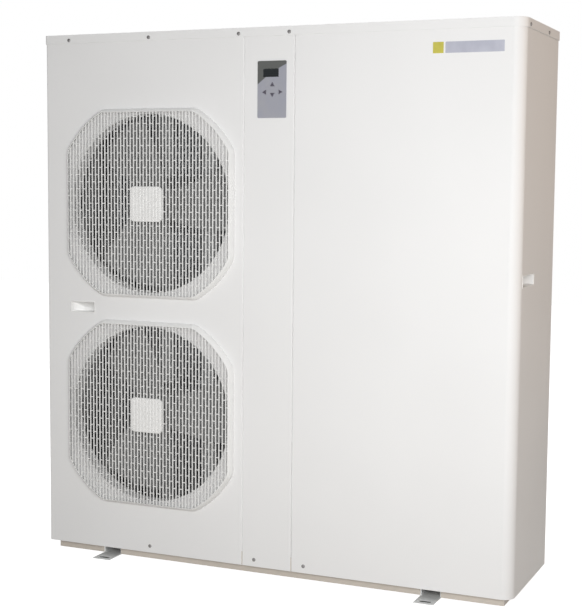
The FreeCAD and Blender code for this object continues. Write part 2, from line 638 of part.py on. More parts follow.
def make_coil_guard(label, axis, low, high, face, inwards):
    """A welded wire guard: a flat frame, upright wires in its plane and cross wires behind them."""
    body = new_body(label)
    low_z = "plinth_height + tray_wall + seat_gap"
    outer = face
    middle = f"{face} + ({inwards}) * wire_size"
    inner = f"{face} + ({inwards}) * 2 * wire_size"
    layer = (outer, middle) if inwards > 0 else (middle, outer)
    behind = (middle, inner) if inwards > 0 else (inner, middle)
    add(body, axis, *layer, rectangle(low, high, low_z, PANEL_TOP),
        rectangle(f"{low} + wire_frame", f"{high} - wire_frame",
                  f"{low_z} + wire_frame", f"{PANEL_TOP} - wire_frame"))
    add(body, axis, *layer, rectangle(f"{low} + wire_pitch_x", f"{low} + wire_pitch_x + wire_size",
                                      f"{low_z} + wire_frame / 2", f"{PANEL_TOP} - wire_frame / 2"))
    repeat(body, "wire_pitch_x", f"{high} - ({low}) - wire_frame")
    rows = int(number(f"({PANEL_TOP} - ({low_z}) - wire_frame) / wire_pitch_z"))
    for index in range(1, rows + 1):
        height = f"{low_z} + {index} * wire_pitch_z"
        add(body, axis, *behind, rectangle(f"{low} + wire_frame / 2", f"{high} - wire_frame / 2",
                                           height, f"{height} + wire_size"))


def make_partition():
    body = new_body("partition")
    front = f"{FRONT} + partition_front_gap"
    behind = f"{COIL_REAR_IN} + panel_return"
    right = f"{PARTITION_X} + partition_sheet"
    flange = f"{PARTITION_X} + panel_return"
    section = [(PARTITION_X, front), (flange, front), (flange, f"{front} + partition_sheet"),
               (right, f"{front} + partition_sheet"), (right, behind), (PARTITION_X, behind)]
    add(body, "z", FLOOR, f"{PANEL_TOP} - panel_sheet - seat_gap", section)


def squared_circle(height, half, radius, depth):
    """The outline of a fan guard: a square whose corners are rounded about the fan's axis."""
    first = math.acos(half / radius)
    chords = int(number("guard_chords"))
    points = []
    for quarter in range(4):
        for step in range(chords + 1):
            angle = math.pi / 2 * quarter + first + (math.pi / 2 - 2 * first) * step / chords
            points.append(FreeCAD.Vector(number("fan_x") + radius * math.cos(angle), depth,
                                         height + radius * math.sin(angle)))
    return Part.makePolygon(points + points[:1])


def slat_gaps(height):
    """The open slots between the slats, each between two cross pieces. Neighbouring gaps are staggered."""
    pitch, width = number("slat_pitch"), number("slat_gap")
    bridge, web = number("bridge_pitch"), number("bridge_width")
    edge = number("guard_slope + grille_margin")
    half, radius, pad = number("guard_half") - edge, number("guard_radius") - edge, number("badge_pad_half")
    front = number(f"{FRONT} - guard_depth - badge_pad_rise") - web
    depth = number("guard_depth")
    columns = int((half - width / 2) / pitch)
    boxes = []
    for column in range(-columns, columns + 1):
        across = column * pitch
        outermost = abs(across) + width / 2
        reach = min(half, math.sqrt(radius ** 2 - outermost ** 2))
        spans = [(-reach, reach)]
        if abs(across) < pad + width / 2:
            spans = [(-reach, -pad), (pad, reach)]
        start = bridge / 2 * (column % 2) - bridge * math.ceil(2 * radius / bridge)
        webs = [start + bridge * index for index in range(2 * math.ceil(2 * radius / bridge) + 1)]
        for low, high in spans:
            inner = [mark for mark in webs if low + 2 * web < mark < high - 2 * web]
            marks = [low - web / 2] + inner + [high + web / 2]
            for below, above in zip(marks, marks[1:]):
                corner = FreeCAD.Vector(number("fan_x") + across - width / 2, front, height + below + web / 2)
                boxes.append(Part.makeBox(width, depth, above - below - web, corner))
    return boxes


def rim_shell(height, inset):
    """The closed form of a fan guard with its sloping rim. The inset gives its hollow."""
    half, radius = number("guard_half") - inset, number("guard_radius") - inset
    front, deep = number(FRONT), number("guard_depth") - inset
    slope, foot = number("guard_slope"), number("guard_foot")
    block = Part.Face(squared_circle(height, half, radius, front)).extrude(FreeCAD.Vector(0, -deep, 0))
    rim = [edge for edge in block.Edges if abs(edge.BoundBox.YMax - front + deep) < 0.01]
    return block.makeChamfer(deep - foot, slope, rim)


def make_fan_guard(label, place):
    """A moulded guard whose slats stand between a sloping rim and a plain centre pad."""
    height, front = number(place), number(FRONT)
    wall, deep = number("guard_wall"), number("guard_depth")
    pad, rise = number("badge_pad_half"), number("badge_pad_rise")
    corner = FreeCAD.Vector(number("fan_x") - pad, front - deep - rise, height - pad)
    centre = Part.makeBox(2 * pad, rise + wall, 2 * pad, corner)
    shell = rim_shell(height, 0).cut(rim_shell(height, wall)).fuse(centre)
    guard = document.addObject("Part::Feature", label)
    guard.Shape = shell.cut(Part.makeCompound(slat_gaps(height))).removeSplitter()
    guard.Label = label
    made.append(guard)


def blade_arc(offset):
    """One face of a blade's curved sheet, seen along the blade from its root to its tip."""
    front, depth, thick = number(f"{FRONT} + impeller_front"), number("impeller_depth"), number("blade_sheet")
    lean, half = number("blade_sweep"), number("blade_tip_width") / 2
    root = number("hub_radius") / 2
    leading = FreeCAD.Vector(root, front + thick / 2 + offset, lean - half)
    trailing = FreeCAD.Vector(root, front + depth - thick / 2 + offset, lean + half)
    crest = FreeCAD.Vector(root, front + depth / 2 - number("blade_camber") + offset, lean)
    return Part.Arc(leading, crest, trailing), leading, trailing


def blade_outline(behind):
    """The blade as seen from the front, with a hollow leading edge and a bowed trailing edge."""
    root, tip = number("hub_radius") / 2, number("impeller_radius") + number("blade_sheet")
    narrow, wide, lean = number("blade_root_width") / 2, number("blade_tip_width") / 2, number("blade_sweep")

    def point(reach, across):
        return FreeCAD.Vector(reach, behind, across)

    middle = (root + tip) / 2
    hollow_edge = point(middle, lean / 4 - (narrow + wide) / 2)
    bowed_edge = point(middle, lean / 3 + (narrow + wide) / 2.4)
    leading = Part.Arc(point(root, -narrow), hollow_edge, point(tip, lean - wide))
    trailing = Part.Arc(point(tip, lean + wide), bowed_edge, point(root, narrow))
    sides = [Part.LineSegment(point(tip, lean - wide), point(tip, lean + wide)),
             Part.LineSegment(point(root, narrow), point(root, -narrow))]
    return Part.Wire([leading.toShape(), sides[0].toShape(), trailing.toShape(), sides[1].toShape()])


def make_impeller(label, place):
    """Three swept blades of curved sheet round a bored hub."""
    axis = FreeCAD.Vector(0, 1, 0)
    front, depth = number(f"{FRONT} + impeller_front"), number("impeller_depth")
    start, ahead = FreeCAD.Vector(0, front, 0), FreeCAD.Vector(0, front - depth, 0)
    hub, tip = number("hub_radius"), number("impeller_radius")
    fore, fore_leading, fore_trailing = blade_arc(-number("blade_sheet") / 2)
    rear, rear_leading, rear_trailing = blade_arc(number("blade_sheet") / 2)
    joins = [Part.LineSegment(fore_trailing, rear_trailing), Part.LineSegment(rear_leading, fore_leading)]
    section = Part.Wire([fore.toShape(), joins[0].toShape(), rear.toShape(), joins[1].toShape()])
    blade = Part.Face(section).extrude(FreeCAD.Vector(tip, 0, 0))
    blade = blade.common(Part.Face(blade_outline(front - depth)).extrude(axis * 3 * depth))
    blade = blade.common(Part.makeCylinder(tip, 3 * depth, ahead, axis))
    shape = Part.makeCylinder(hub, depth, start, axis)
    blade = blade.cut(shape)
    blades = []
    for index in range(int(number("blade_count"))):
        turned = blade.copy()
        turned.rotate(FreeCAD.Vector(0, 0, 0), axis, 360 * index / number("blade_count"))
        blades.append(turned)
    shape = shape.fuse(blades)
    shape = shape.cut(Part.makeCylinder(number("shaft_radius + shaft_clearance"), 3 * depth, ahead, axis))
    impeller = document.addObject("Part::Feature", label)
    impeller.Shape = shape
    impeller.Label = label
    impeller.Placement.Base = FreeCAD.Vector(number("fan_x"), 0, number(place))
    made.append(impeller)


def make_fan_drive(level, place):
    front = f"{FRONT} + impeller_front"
    shaft = new_body(f"fan_shaft_{level}")
    add(shaft, "y", front, f"{MOTOR_FRONT} + motor_bore_depth - seat_gap",
        ("circle", "fan_x", place, "shaft_radius"))
    nut = new_body(f"hub_nut_{level}")
    add(nut, "y", f"{front} - nut_height", front, hexagon("fan_x", place, "nut_radius"))


def make_motors():
    """Two like motors, each with a blind bore for its shaft."""
    motors = new_body("fan_motors")
    motors.AllowCompound = True
    places = ("fan_low_z", FAN_HIGH_Z)
    add(motors, "y", MOTOR_FRONT, MAST_FRONT,
        *[("circle", "fan_x", place, "motor_radius") for place in places])
    cut(motors, "y", MOTOR_FRONT, f"{MOTOR_FRONT} + motor_bore_depth",
        *[("circle", "fan_x", place, "shaft_radius + shaft_clearance") for place in places])


def make_motor_mast():
    """Two folded rails from the tray to the cover, with a plate behind each motor."""
    body = new_body("motor_mast")
    face = f"{MAST_FRONT} + mast_sheet"
    back = f"{MAST_FRONT} + mast_depth"
    for sign in ("-", "+"):
        middle = f"(fan_x {sign} mast_spacing / 2)"
        low, high = f"{middle} - mast_width / 2", f"{middle} + mast_width / 2"
        inner_low, inner_high, floor = f"{low} + mast_sheet", f"{high} - mast_sheet", f"{face} + mast_sheet"
        section = [(low, face), (high, face), (high, back), (inner_high, back),
                   (inner_high, floor), (inner_low, floor), (inner_low, back), (low, back)]
        add(body, "z", FLOOR, PANEL_TOP, section)
    reach = "(mast_spacing + mast_width) / 2"
    for place in ("fan_low_z", FAN_HIGH_Z):
        add(body, "y", MAST_FRONT, face,
            rectangle(f"fan_x - {reach}", f"fan_x + {reach}",
                      f"{place} - mast_plate_half", f"{place} + mast_plate_half"))


def make_coil():
    body = new_body("evaporator_coil")
    left = f"({LEFT} + coil_left_gap)"
    start = f"{FRONT} + side_return - coil_left_gap / 2"
    section = [(left, start), (f"{left} + coil_depth", start), (f"{left} + coil_depth", COIL_REAR_IN),
               (COIL_END_X, COIL_REAR_IN), (COIL_END_X, COIL_REAR_OUT), (left, COIL_REAR_OUT)]
    top = f"{PANEL_TOP} - coil_top_gap"
    add(body, "z", FLOOR, top, section)
    outer = [(number(left), number(COIL_REAR_OUT))]
    inner = [(number(f"{left} + coil_depth"), number(COIL_REAR_IN))]
    round_edges(body, "coil_bend", lambda edge: runs_along(edge, "z") and stands_at(edge, outer))
    round_edges(body, "coil_bend - coil_depth", lambda edge: runs_along(edge, "z") and stands_at(edge, inner))
    end = new_body("coil_end_plate")
    add(end, "z", FLOOR, top,
        rectangle(COIL_END_X, PARTITION_X,
                  f"{COIL_REAR_IN} - coil_end_margin", f"{COIL_REAR_OUT} + coil_end_margin"))
    header = new_body("coil_header")
    add(header, "z", "header_low_z", "header_top_z", regular(12, HEADER_X, HEADER_Y, "header_radius"))
    for level in ("header_low_z + header_bracket", "header_top_z - 2 * header_bracket"):
        add(header, "x", PARTITION_X, HEADER_X,
            rectangle(f"{HEADER_Y} - header_bracket / 2", f"{HEADER_Y} + header_bracket / 2",
                      level, f"{level} + header_bracket"))


def make_grips():
    """Moulded cups behind the two hand holds, each with a thin rim on the panel."""
    low, high = "(front_grip_x + seat_gap)", "(front_grip_x + front_grip_width - seat_gap)"
    foot, head = "(front_grip_z + seat_gap)", "(front_grip_z + grip_height - seat_gap)"
    cup = new_body("front_hand_hold")
    add(cup, "y", FRONT, f"{FRONT} + grip_depth", rectangle(low, high, foot, head))
    add(cup, "y", f"{FRONT} - grip_rim_height", FRONT,
        rectangle(f"{low} - grip_rim", f"{high} + grip_rim", f"{foot} - grip_rim", f"{head} + grip_rim"))
    cut(cup, "y", f"{FRONT} - grip_rim_height", f"{FRONT} + grip_depth - grip_wall",
        rectangle(f"{low} + grip_wall", f"{high} - grip_wall", f"{foot} + grip_wall", f"{head} - grip_wall"))
    low, high = "(side_grip_y + seat_gap)", "(side_grip_y + side_grip_width - seat_gap)"
    foot, head = "(side_grip_z + seat_gap)", "(side_grip_z + grip_height - seat_gap)"
    cup = new_body("side_hand_hold")
    add(cup, "x", f"{RIGHT} - grip_depth", RIGHT, rectangle(low, high, foot, head))
    add(cup, "x", RIGHT, f"{RIGHT} + grip_rim_height",
        rectangle(f"{low} - grip_rim", f"{high} + grip_rim", f"{foot} - grip_rim", f"{head} + grip_rim"))
    cut(cup, "x", f"{RIGHT} - grip_depth + grip_wall", f"{RIGHT} + grip_rim_height",
        rectangle(f"{low} + grip_wall", f"{high} - grip_wall", f"{foot} + grip_wall", f"{head} - grip_wall"))


# Each key is an arrowhead: its place and the way that it points, in degrees.
KEYS = {
    "up": (KEY_X, f"{KEY_Z} + key_up_reach", 90),
    "down": (KEY_X, f"{KEY_Z} - key_down_reach", 270),
    "left": (f"{KEY_X} - key_side_reach", KEY_Z, 180),
    "right": (f"{KEY_X} + key_side_reach", KEY_Z, 0),
}


def make_controller():
    right = "plate_x + plate_width"
    face = f"{FRONT} - plate_thickness"
    plate = new_body("control_plate")
    add(plate, "y", face, FRONT, rectangle("plate_x", right, PLATE_Z, PLATE_TOP))
    round_edges(plate, "plate_corner", lambda edge: runs_along(edge, "y"))
    window_right, window_top = f"{WINDOW_X} + window_width", f"{WINDOW_Z} + window_height"
    cut(plate, "y", face, FRONT, rectangle(WINDOW_X, window_right, WINDOW_Z, window_top))
    hole = "key_radius + 2 * key_clearance"
    for across, along, turn in KEYS.values():
        cut(plate, "y", face, FRONT, regular(3, across, along, hole, turn))
    pane = new_body("display_window")
    add(pane, "y", f"{face} - window_rise", FRONT,
        rectangle(f"{WINDOW_X} + seat_gap", f"{window_right} - seat_gap",
                  f"{WINDOW_Z} + seat_gap", f"{window_top} - seat_gap"))
    for name, (across, along, turn) in KEYS.items():
        key = new_body(f"key_{name}")
        tip = f"{face} - key_rise"
        add(key, "y", tip, f"{tip} + key_length", regular(3, across, along, "key_radius", turn))
    low_x, high_x = "(plate_x + housing_margin)", f"({right} - housing_margin)"
    low_z, high_z = f"({PLATE_Z} + housing_margin)", f"({PLATE_TOP} - housing_margin)"
    housing = new_body("controller_housing")
    add(housing, "y", FRONT, f"{FRONT} + housing_depth", rectangle(low_x, high_x, low_z, high_z))
    cut(housing, "y", FRONT, f"{FRONT} + housing_depth - housing_wall",
        rectangle(f"{low_x} + housing_wall", f"{high_x} - housing_wall",
                  f"{low_z} + housing_wall", f"{high_z} - housing_wall"))
    board = new_body("controller_board")
    back = f"{FRONT} + board_depth"
    room = "(housing_wall + seat_gap)"
    add(board, "y", back, f"{back} + board_thickness",
        rectangle(f"{low_x} + {room}", f"{high_x} - {room}", f"{low_z} + {room}", f"{high_z} - {room}"))


def make_badge():
    """A blank square and a blank strip beside it."""
    body = new_body("blank_badge")
    body.AllowCompound = True
    strip = f"({BADGE_X} + badge_square + badge_gap)"
    add(body, "y", f"{FRONT} - badge_thickness", FRONT,
        rectangle(BADGE_X, f"{BADGE_X} + badge_square", BADGE_Z, f"{BADGE_Z} + badge_square"),
        rectangle(strip, f"{strip} + badge_strip", BADGE_Z, f"{BADGE_Z} + badge_height"))


def heads(body, axis, low, high, height, places):
    """A row of screw heads with six flats, all at one height."""
    add(body, axis, low, high, *[hexagon(place, height, "head_radius") for place in places])


def make_screws():
    """Screw heads that are seated on the sheet that they hold."""
    lid = new_body("cover_screws")
    lid.AllowCompound = True
    height = "overall_height - lid_screw_drop"
    front, rear = f"{FRONT} - lid_overlap", f"{REAR} + lid_overlap"
    across = (f"{LEFT} + lid_screw_inset", "fan_x", "fan_seam_x - screw_before_seam",
              "service_seam_x - screw_before_seam")
    heads(lid, "y", f"{front} - head_height", front, height, across)
    heads(lid, "y", rear, f"{rear} + head_height", height, across)
    left, right = f"{LEFT} - lid_overlap", f"{RIGHT} + lid_overlap"
    along = (f"{FRONT} + side_screw_front", f"{REAR} - side_screw_rear")
    heads(lid, "x", f"{left} - head_height", left, height, along)
    heads(lid, "x", right, f"{right} + head_height", height, along)
    panel = new_body("panel_screws")
    panel.AllowCompound = True
    height = "plinth_height + panel_screw_rise"
    across = ("fan_x", "fan_seam_x + screw_past_seam", "service_seam_x + screw_past_seam")
    heads(panel, "y", f"{FRONT} - head_height", FRONT, height, across)
    across = (f"{LEFT} + post_flange / 2", f"{REAR_PANEL_X} + rear_screw_inset",
              f"({REAR_PANEL_X} + {RIGHT}) / 2", f"{RIGHT} - rear_screw_inset")
    heads(panel, "y", REAR, f"{REAR} + head_height", height, across)


def make_bolts():
    """Bolts that hold the foot rails to the tray, and screws that hold the motors to their mast."""
    bolts = new_body("foot_bolts")
    bolts.AllowCompound = True
    reach = "(rail_width + rail_flange) / 2"
    loops = []
    for middle in ("rail_left_x", RAIL_RIGHT_X):
        for across in ("-", "+"):
            for along in ("-", ""):
                loops.append(hexagon(f"{middle} {across} {reach}", f"{along}foot_bolt_y", "foot_bolt_radius"))
    add(bolts, "z", FLOOR, f"{FLOOR} + foot_bolt_height", *loops)
    screws = new_body("motor_screws")
    screws.AllowCompound = True
    behind = f"{MAST_FRONT} + mast_sheet"
    across = ("fan_x - motor_screw_reach", "fan_x + motor_screw_reach")
    for place in ("fan_low_z", FAN_HIGH_Z):
        for height in (f"{place} - motor_screw_reach", f"{place} + motor_screw_reach"):
            heads(screws, "y", behind, f"{behind} + head_height", height, across)


def make_electrics():
    left = f"({PARTITION_X} + partition_sheet + seat_gap)"
    right = f"{left} + box_width"
    box = new_body("electrical_box")
    add(box, "y", "box_back_y - box_depth", "box_back_y", rectangle(left, right, BOX_Z, BOX_TOP))
    hollow(box, "panel_sheet", lambda face: faces_towards(face, "y", -1))
    seat = "box_back_y - panel_sheet"
    block = new_body("terminal_block")
    low, foot = f"({left} + terminal_inset)", f"({BOX_Z} + terminal_height)"
    top = f"{foot} + terminal_height"
    front = f"{seat} - terminal_depth"
    add(block, "y", front, seat, rectangle(low, f"{low} + terminal_width", foot, top))
    poles = int(number("terminal_poles"))
    slots = []
    for index in range(poles):
        middle = f"{low} + {2 * index + 1} * terminal_width / (2 * terminal_poles)"
        slots.append(rectangle(f"{middle} - terminal_slot / 2", f"{middle} + terminal_slot / 2",
                               f"{foot} + seat_gap * 20", f"{top} - seat_gap * 20"))
    cut(block, "y", front, f"{front} + terminal_slot_depth", *slots)
    contactor = new_body("contactor")
    low, foot = f"({left} + box_width * contactor_share)", f"({BOX_Z} + box_height * box_floor)"
    high, top = f"{low} + contactor_width", f"{foot} + contactor_height"
    shoulder = f"{seat} - contactor_depth + contactor_nose"
    add(contactor, "y", shoulder, seat, rectangle(low, high, foot, top))
    add(contactor, "y", f"{seat} - contactor_depth", shoulder,
        rectangle(low, high, f"{foot} + contactor_step", f"{top} - contactor_step"))
    cans = new_body("capacitors")
    cans.AllowCompound = True
    sides = [f"({right} - {index} * capacitor_pitch)" for index in (1, 2)]
    add(cans, "y", f"{seat} - capacitor_depth", seat,
        *[rectangle(side, f"{side} + capacitor_width", foot, f"{foot} + capacitor_height") for side in sides])


def make_compressor():
    base = f"{FLOOR} + grommet_height"
    body = new_body("compressor")
    arm = "(compressor_foot_reach + grommet_radius)"
    corners = []
    for turn in (90, 210, 330):
        for lean in (-10, 10):
            corners.append((f"compressor_x + {arm} * cos({turn + lean})",
                            f"compressor_y + {arm} * sin({turn + lean})"))
    add(body, "z", base, f"{base} + compressor_plate", corners)
    add(body, "z", f"{base} + compressor_plate", f"{CROWN} - compressor_crown",
        ("circle", "compressor_x", "compressor_y", "compressor_radius"))
    add(body, "z", f"{CROWN} - compressor_crown", CROWN,
        regular(12, "compressor_x", "compressor_y", "crown_radius"))
    feet = new_body("compressor_grommets")
    feet.AllowCompound = True
    reach = "compressor_foot_reach"
    places = [(f"compressor_x + {reach} * cos({turn})", f"compressor_y + {reach} * sin({turn})")
              for turn in (90, 210, 330)]
    add(feet, "z", FLOOR, base, *[regular(8, across, along, "grommet_radius") for across, along in places])


def make_accumulator():
    body = new_body("suction_accumulator")
    top = "accumulator_low_z + accumulator_height"
    place = ("accumulator_x", "accumulator_y")
    add(body, "z", "accumulator_low_z", top, ("circle", *place, "accumulator_radius"))
    add(body, "z", FLOOR, "accumulator_low_z", hexagon(*place, "accumulator_stud"))


def make_condenser():
    """An upright water shell on two feet. The water ports face the rear and the liquid port the left."""
    body = new_body("condenser_shell")
    top = "condenser_low_z + condenser_height"
    place = ("condenser_x", "condenser_y")
    add(body, "z", "condenser_low_z", top, ("circle", *place, "condenser_radius"))
    for height in ("water_low_z", "water_low_z + water_spacing"):
        add(body, "y", "condenser_y", "condenser_y + port_reach",
            regular(12, "condenser_x", height, "port_radius"))
    half = "liquid_pipe_radius"
    add(body, "x", "drier_x + drier_length / 2", "condenser_x",
        rectangle(f"liquid_y - {half}", f"liquid_y + {half}", f"liquid_z - {half}", f"liquid_z + {half}"))
    half = "condenser_foot_half"
    for sign in ("-", "+"):
        middle = f"condenser_x {sign} {half}"
        add(body, "z", FLOOR, "condenser_low_z",
            rectangle(f"{middle} - condenser_foot / 2", f"{middle} + condenser_foot / 2",
                      f"condenser_y - {half} / 2", f"condenser_y + {half} / 2"))


def make_water_side():
    """Each union has a tail from the shell through the rear panel and a ribbed nut with a pipe socket."""
    face = "condenser_y + port_reach"
    wall = f"({REAR} + union_gap)"
    places = ("water_low_z", "water_low_z + water_spacing")

    def ribbed(radius):
        return [regular(12, "condenser_x", place, radius, 15) for place in places]

    sockets = [("circle", "condenser_x", place, "socket_bore") for place in places]
    unions = new_body("water_unions")
    unions.AllowCompound = True
    add(unions, "y", face, f"{wall} + panel_sheet", *ribbed("pipe_radius"), *ribbed("pipe_bore"))
    seat = f"{wall} + panel_sheet"
    add(unions, "y", wall, seat, *ribbed("union_radius"), *ribbed("pipe_bore"))
    add(unions, "y", seat, f"{seat} + socket_length", *ribbed("union_radius"), *sockets)
    switch = new_body("flow_switch")
    low = "water_low_z + pipe_radius * cos(15)"
    half = "switch_size / 2"
    middle = f"({face} + {REAR}) / 2"
    add(switch, "z", low, f"{low} + switch_height",
        rectangle(f"condenser_x - {half}", f"condenser_x + {half}",
                  f"{middle} - {half}", f"{middle} + {half}"))


def make_cable_glands():
    body = new_body("cable_glands")
    body.AllowCompound = True
    places = ("gland_z", "gland_z + gland_pitch")
    bores = [("circle", GLAND_X, place, "gland_bore") for place in places]
    nuts = [hexagon(GLAND_X, place, "gland_hex") for place in places]
    add(body, "y", REAR, f"{REAR} + gland_length", *nuts, *bores)


def make_pipe(label, points, radius):
    """A pipe with twelve flats along straight runs. Each corner is two mitred joints."""
    places = [FreeCAD.Vector(*(number(text) for text in point)) for point in points]
    route = [places[0]]
    for before, corner, after in zip(places, places[1:], places[2:]):
        for neighbour in (before, after):
            route.append(corner + (neighbour - corner).normalize() * number("pipe_bend"))
    route.append(places[-1])
    end = Part.Circle(places[0], (places[1] - places[0]).normalize(), number(radius))
    outline = Part.makePolygon([end.value(math.tau * (step % 12) / 12) for step in range(13)])
    pipe = document.addObject("Part::Feature", label)
    pipe.Shape = Part.makePolygon(route).makePipeShell([outline], True, False, 1)
    pipe.Label = label
    made.append(pipe)


def make_refrigerant_side():
    """The reversing valve and the pipes between it, the coil, the compressor and the water shell."""
    valve = new_body("reversing_valve")
    low, high = "valve_z - valve_radius", "valve_z + valve_radius"
    add(valve, "z", low, high,
        rectangle("compressor_x - valve_half", "compressor_x + valve_half",
                  "valve_y - valve_radius", "valve_y + valve_radius"))
    add(valve, "z", f"{low} + valve_radius / 2", f"{high} - valve_radius / 2",
        rectangle("compressor_x - valve_half / 2", "compressor_x + valve_half / 2",
                  "valve_y - 2 * valve_radius", "valve_y - valve_radius"))
    left, middle, right = "compressor_x - port_pitch", "compressor_x", "compressor_x + port_pitch"
    shell_top = "condenser_low_z + condenser_height"
    can_top = "accumulator_low_z + accumulator_height"
    make_pipe("discharge_pipe", [(middle, "valve_y", CROWN), (middle, "valve_y", low)], "gas_pipe")
    make_pipe("coil_vapour_pipe",
              [(left, "valve_y", high), (left, "valve_y", "gas_rise"),
               (HEADER_X, HEADER_Y, "gas_rise"), (HEADER_X, HEADER_Y, "header_top_z")], "gas_pipe")
    make_pipe("condenser_vapour_pipe",
              [(right, "valve_y", high), (right, "valve_y", "gas_rise"),
               ("condenser_x", "condenser_y", "gas_rise"),
               ("condenser_x", "condenser_y", shell_top)], "gas_pipe")
    make_pipe("suction_pipe",
              [(middle, "valve_y", high), (middle, "valve_y", "suction_rise"),
               ("accumulator_x", "accumulator_y", "suction_rise"),
               ("accumulator_x", "accumulator_y", can_top)], "gas_pipe")
    drier = new_body("filter_drier")
    start, end = "drier_x - drier_length / 2", "drier_x + drier_length / 2"
    add(drier, "x", start, end, regular(12, "liquid_y", "liquid_z", "drier_radius"))
    valve = new_body("expansion_valve")
    add(valve, "z", "expansion_z", "expansion_z + expansion_height",
        rectangle("liquid_riser_x - expansion_radius", "liquid_riser_x + expansion_radius",
                  "liquid_y - expansion_radius", "liquid_y + expansion_radius"))
    make_pipe("liquid_pipe",
              [(start, "liquid_y", "liquid_z"), ("liquid_riser_x", "liquid_y", "liquid_z"),
               ("liquid_riser_x", "liquid_y", "expansion_z")], "liquid_pipe_radius")


for build in (make_base_tray, make_fan_panel, make_control_strip, make_service_panel, make_top_cover,
              make_rear_panel, make_corner_post, make_partition, make_motor_mast, make_motors, make_coil,
              make_grips, make_controller, make_badge, make_screws, make_bolts, make_electrics,
              make_compressor, make_accumulator, make_condenser, make_water_side, make_cable_glands,
              make_refrigerant_side):
    build()
make_foot_rail("foot_rail_left", "rail_left_x")
make_foot_rail("foot_rail_right", RAIL_RIGHT_X)
for level, place in (("lower", "fan_low_z"), ("upper", FAN_HIGH_Z)):
    make_fan_guard(f"fan_guard_{level}", place)
    make_impeller(f"impeller_{level}", place)
    make_fan_drive(level, place)
make_coil_guard("rear_coil_guard", "y", f"{LEFT} + post_flange + seat_gap",
                f"{REAR_PANEL_X} - seat_gap", REAR, -1)
make_coil_guard("left_coil_guard", "x", f"{FRONT} + side_return + seat_gap",
                f"{REAR} - post_flange - seat_gap", LEFT, 1)

document.recompute()
for item in document.Objects:
    if {"Invalid", "Error"} & set(item.State):
        owners = [owner.Label for owner in item.InList]
        raise SystemExit(f"{item.Label} of {owners} failed: {item.State}")
for item in made:
    if item.Shape.isNull() or not item.Shape.isValid() or not item.Shape.Solids:
        raise SystemExit(f"{item.Label} has no valid solid")
os.makedirs("parts", exist_ok=True)
for item in made:
    item.Shape.exportStep(f"parts/{item.Label}.step")
    print(item.Label, len(item.Shape.Solids), round(item.Shape.Volume / 1000), "cm3")
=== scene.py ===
import json
from functools import partial
from math import atan2, copysign, cos, hypot, pi, radians, sin, sqrt

import bmesh
import bpy
from mathutils import Matrix, Vector


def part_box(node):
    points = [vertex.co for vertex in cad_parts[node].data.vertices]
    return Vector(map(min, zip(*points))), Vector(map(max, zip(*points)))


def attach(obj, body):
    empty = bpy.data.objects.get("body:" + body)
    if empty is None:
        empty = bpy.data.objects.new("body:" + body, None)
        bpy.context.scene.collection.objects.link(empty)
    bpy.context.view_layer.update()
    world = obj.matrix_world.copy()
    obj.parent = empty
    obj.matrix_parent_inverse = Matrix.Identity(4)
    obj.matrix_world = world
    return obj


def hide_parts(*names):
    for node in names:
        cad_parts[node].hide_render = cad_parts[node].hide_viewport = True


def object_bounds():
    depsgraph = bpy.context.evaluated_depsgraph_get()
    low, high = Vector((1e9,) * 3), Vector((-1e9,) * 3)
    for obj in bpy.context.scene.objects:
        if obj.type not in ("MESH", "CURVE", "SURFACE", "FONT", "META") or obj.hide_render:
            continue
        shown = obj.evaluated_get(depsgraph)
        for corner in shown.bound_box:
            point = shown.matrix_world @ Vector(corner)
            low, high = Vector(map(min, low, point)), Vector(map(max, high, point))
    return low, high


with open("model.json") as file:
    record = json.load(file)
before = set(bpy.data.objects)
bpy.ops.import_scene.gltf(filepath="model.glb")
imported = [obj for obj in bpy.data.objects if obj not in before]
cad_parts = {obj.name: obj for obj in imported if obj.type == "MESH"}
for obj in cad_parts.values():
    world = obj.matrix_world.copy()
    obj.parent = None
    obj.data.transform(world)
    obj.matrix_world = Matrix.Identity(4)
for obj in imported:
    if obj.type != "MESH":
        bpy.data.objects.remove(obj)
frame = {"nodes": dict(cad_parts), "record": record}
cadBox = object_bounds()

# Pool heat pump, in the frame of the pack: +Z up, front towards -Y. Dictionaries hold millimetres.
mm = 0.001
ops = bmesh.ops
axes = {"x": Vector((1, 0, 0)), "y": Vector((0, 1, 0)), "z": Vector((0, 0, 1))}
axes.update({"-" + name: -way for name, way in axes.items()})
cadNodes = frame["nodes"]
bodyOf = {node: body for body, members in frame["record"]["behaviour"]["bodies"].items() for node in members}
slotOf = {row["node"]: row["material_slot"] for row in frame["record"]["subparts"]}


def linearColour(hexText):
    # sRGB hex to the linear numbers that the shader wants
    parts = [int(hexText[i:i + 2], 16) / 255 for i in (1, 3, 5)]
    return [p / 12.92 if p <= 0.04045 else ((p + 0.055) / 1.055) ** 2.4 for p in parts] + [1]


def addNode(tree, kind, *sources, **settings):
    # Sources go to the first inputs, None leaves one as it is. A setting goes to the input or property of its
    # name. A socket is linked, as is a node's first output, and a hex text becomes a colour.
    node = tree.nodes.new("ShaderNode" + kind)
    for key in [key for key in settings if key not in node.inputs]:
        setattr(node, key, settings.pop(key))
    for key, value in [*enumerate(sources), *settings.items()]:
        source = value.outputs[0] if isinstance(value, bpy.types.Node) else value
        if isinstance(source, bpy.types.NodeSocket):
            tree.links.new(source, node.inputs[key])
        elif value is not None:
            node.inputs[key].default_value = linearColour(value) if isinstance(value, str) else value
    return node


def newFinish(name):
    # an empty material, the function that adds its nodes, and the coordinates of its object
    finish = bpy.data.materials.new(name)
    finish.use_nodes = True
    finish.node_tree.nodes.clear()
    add = partial(addNode, finish.node_tree)
    return finish, add, add("TexCoord").outputs["Object"]


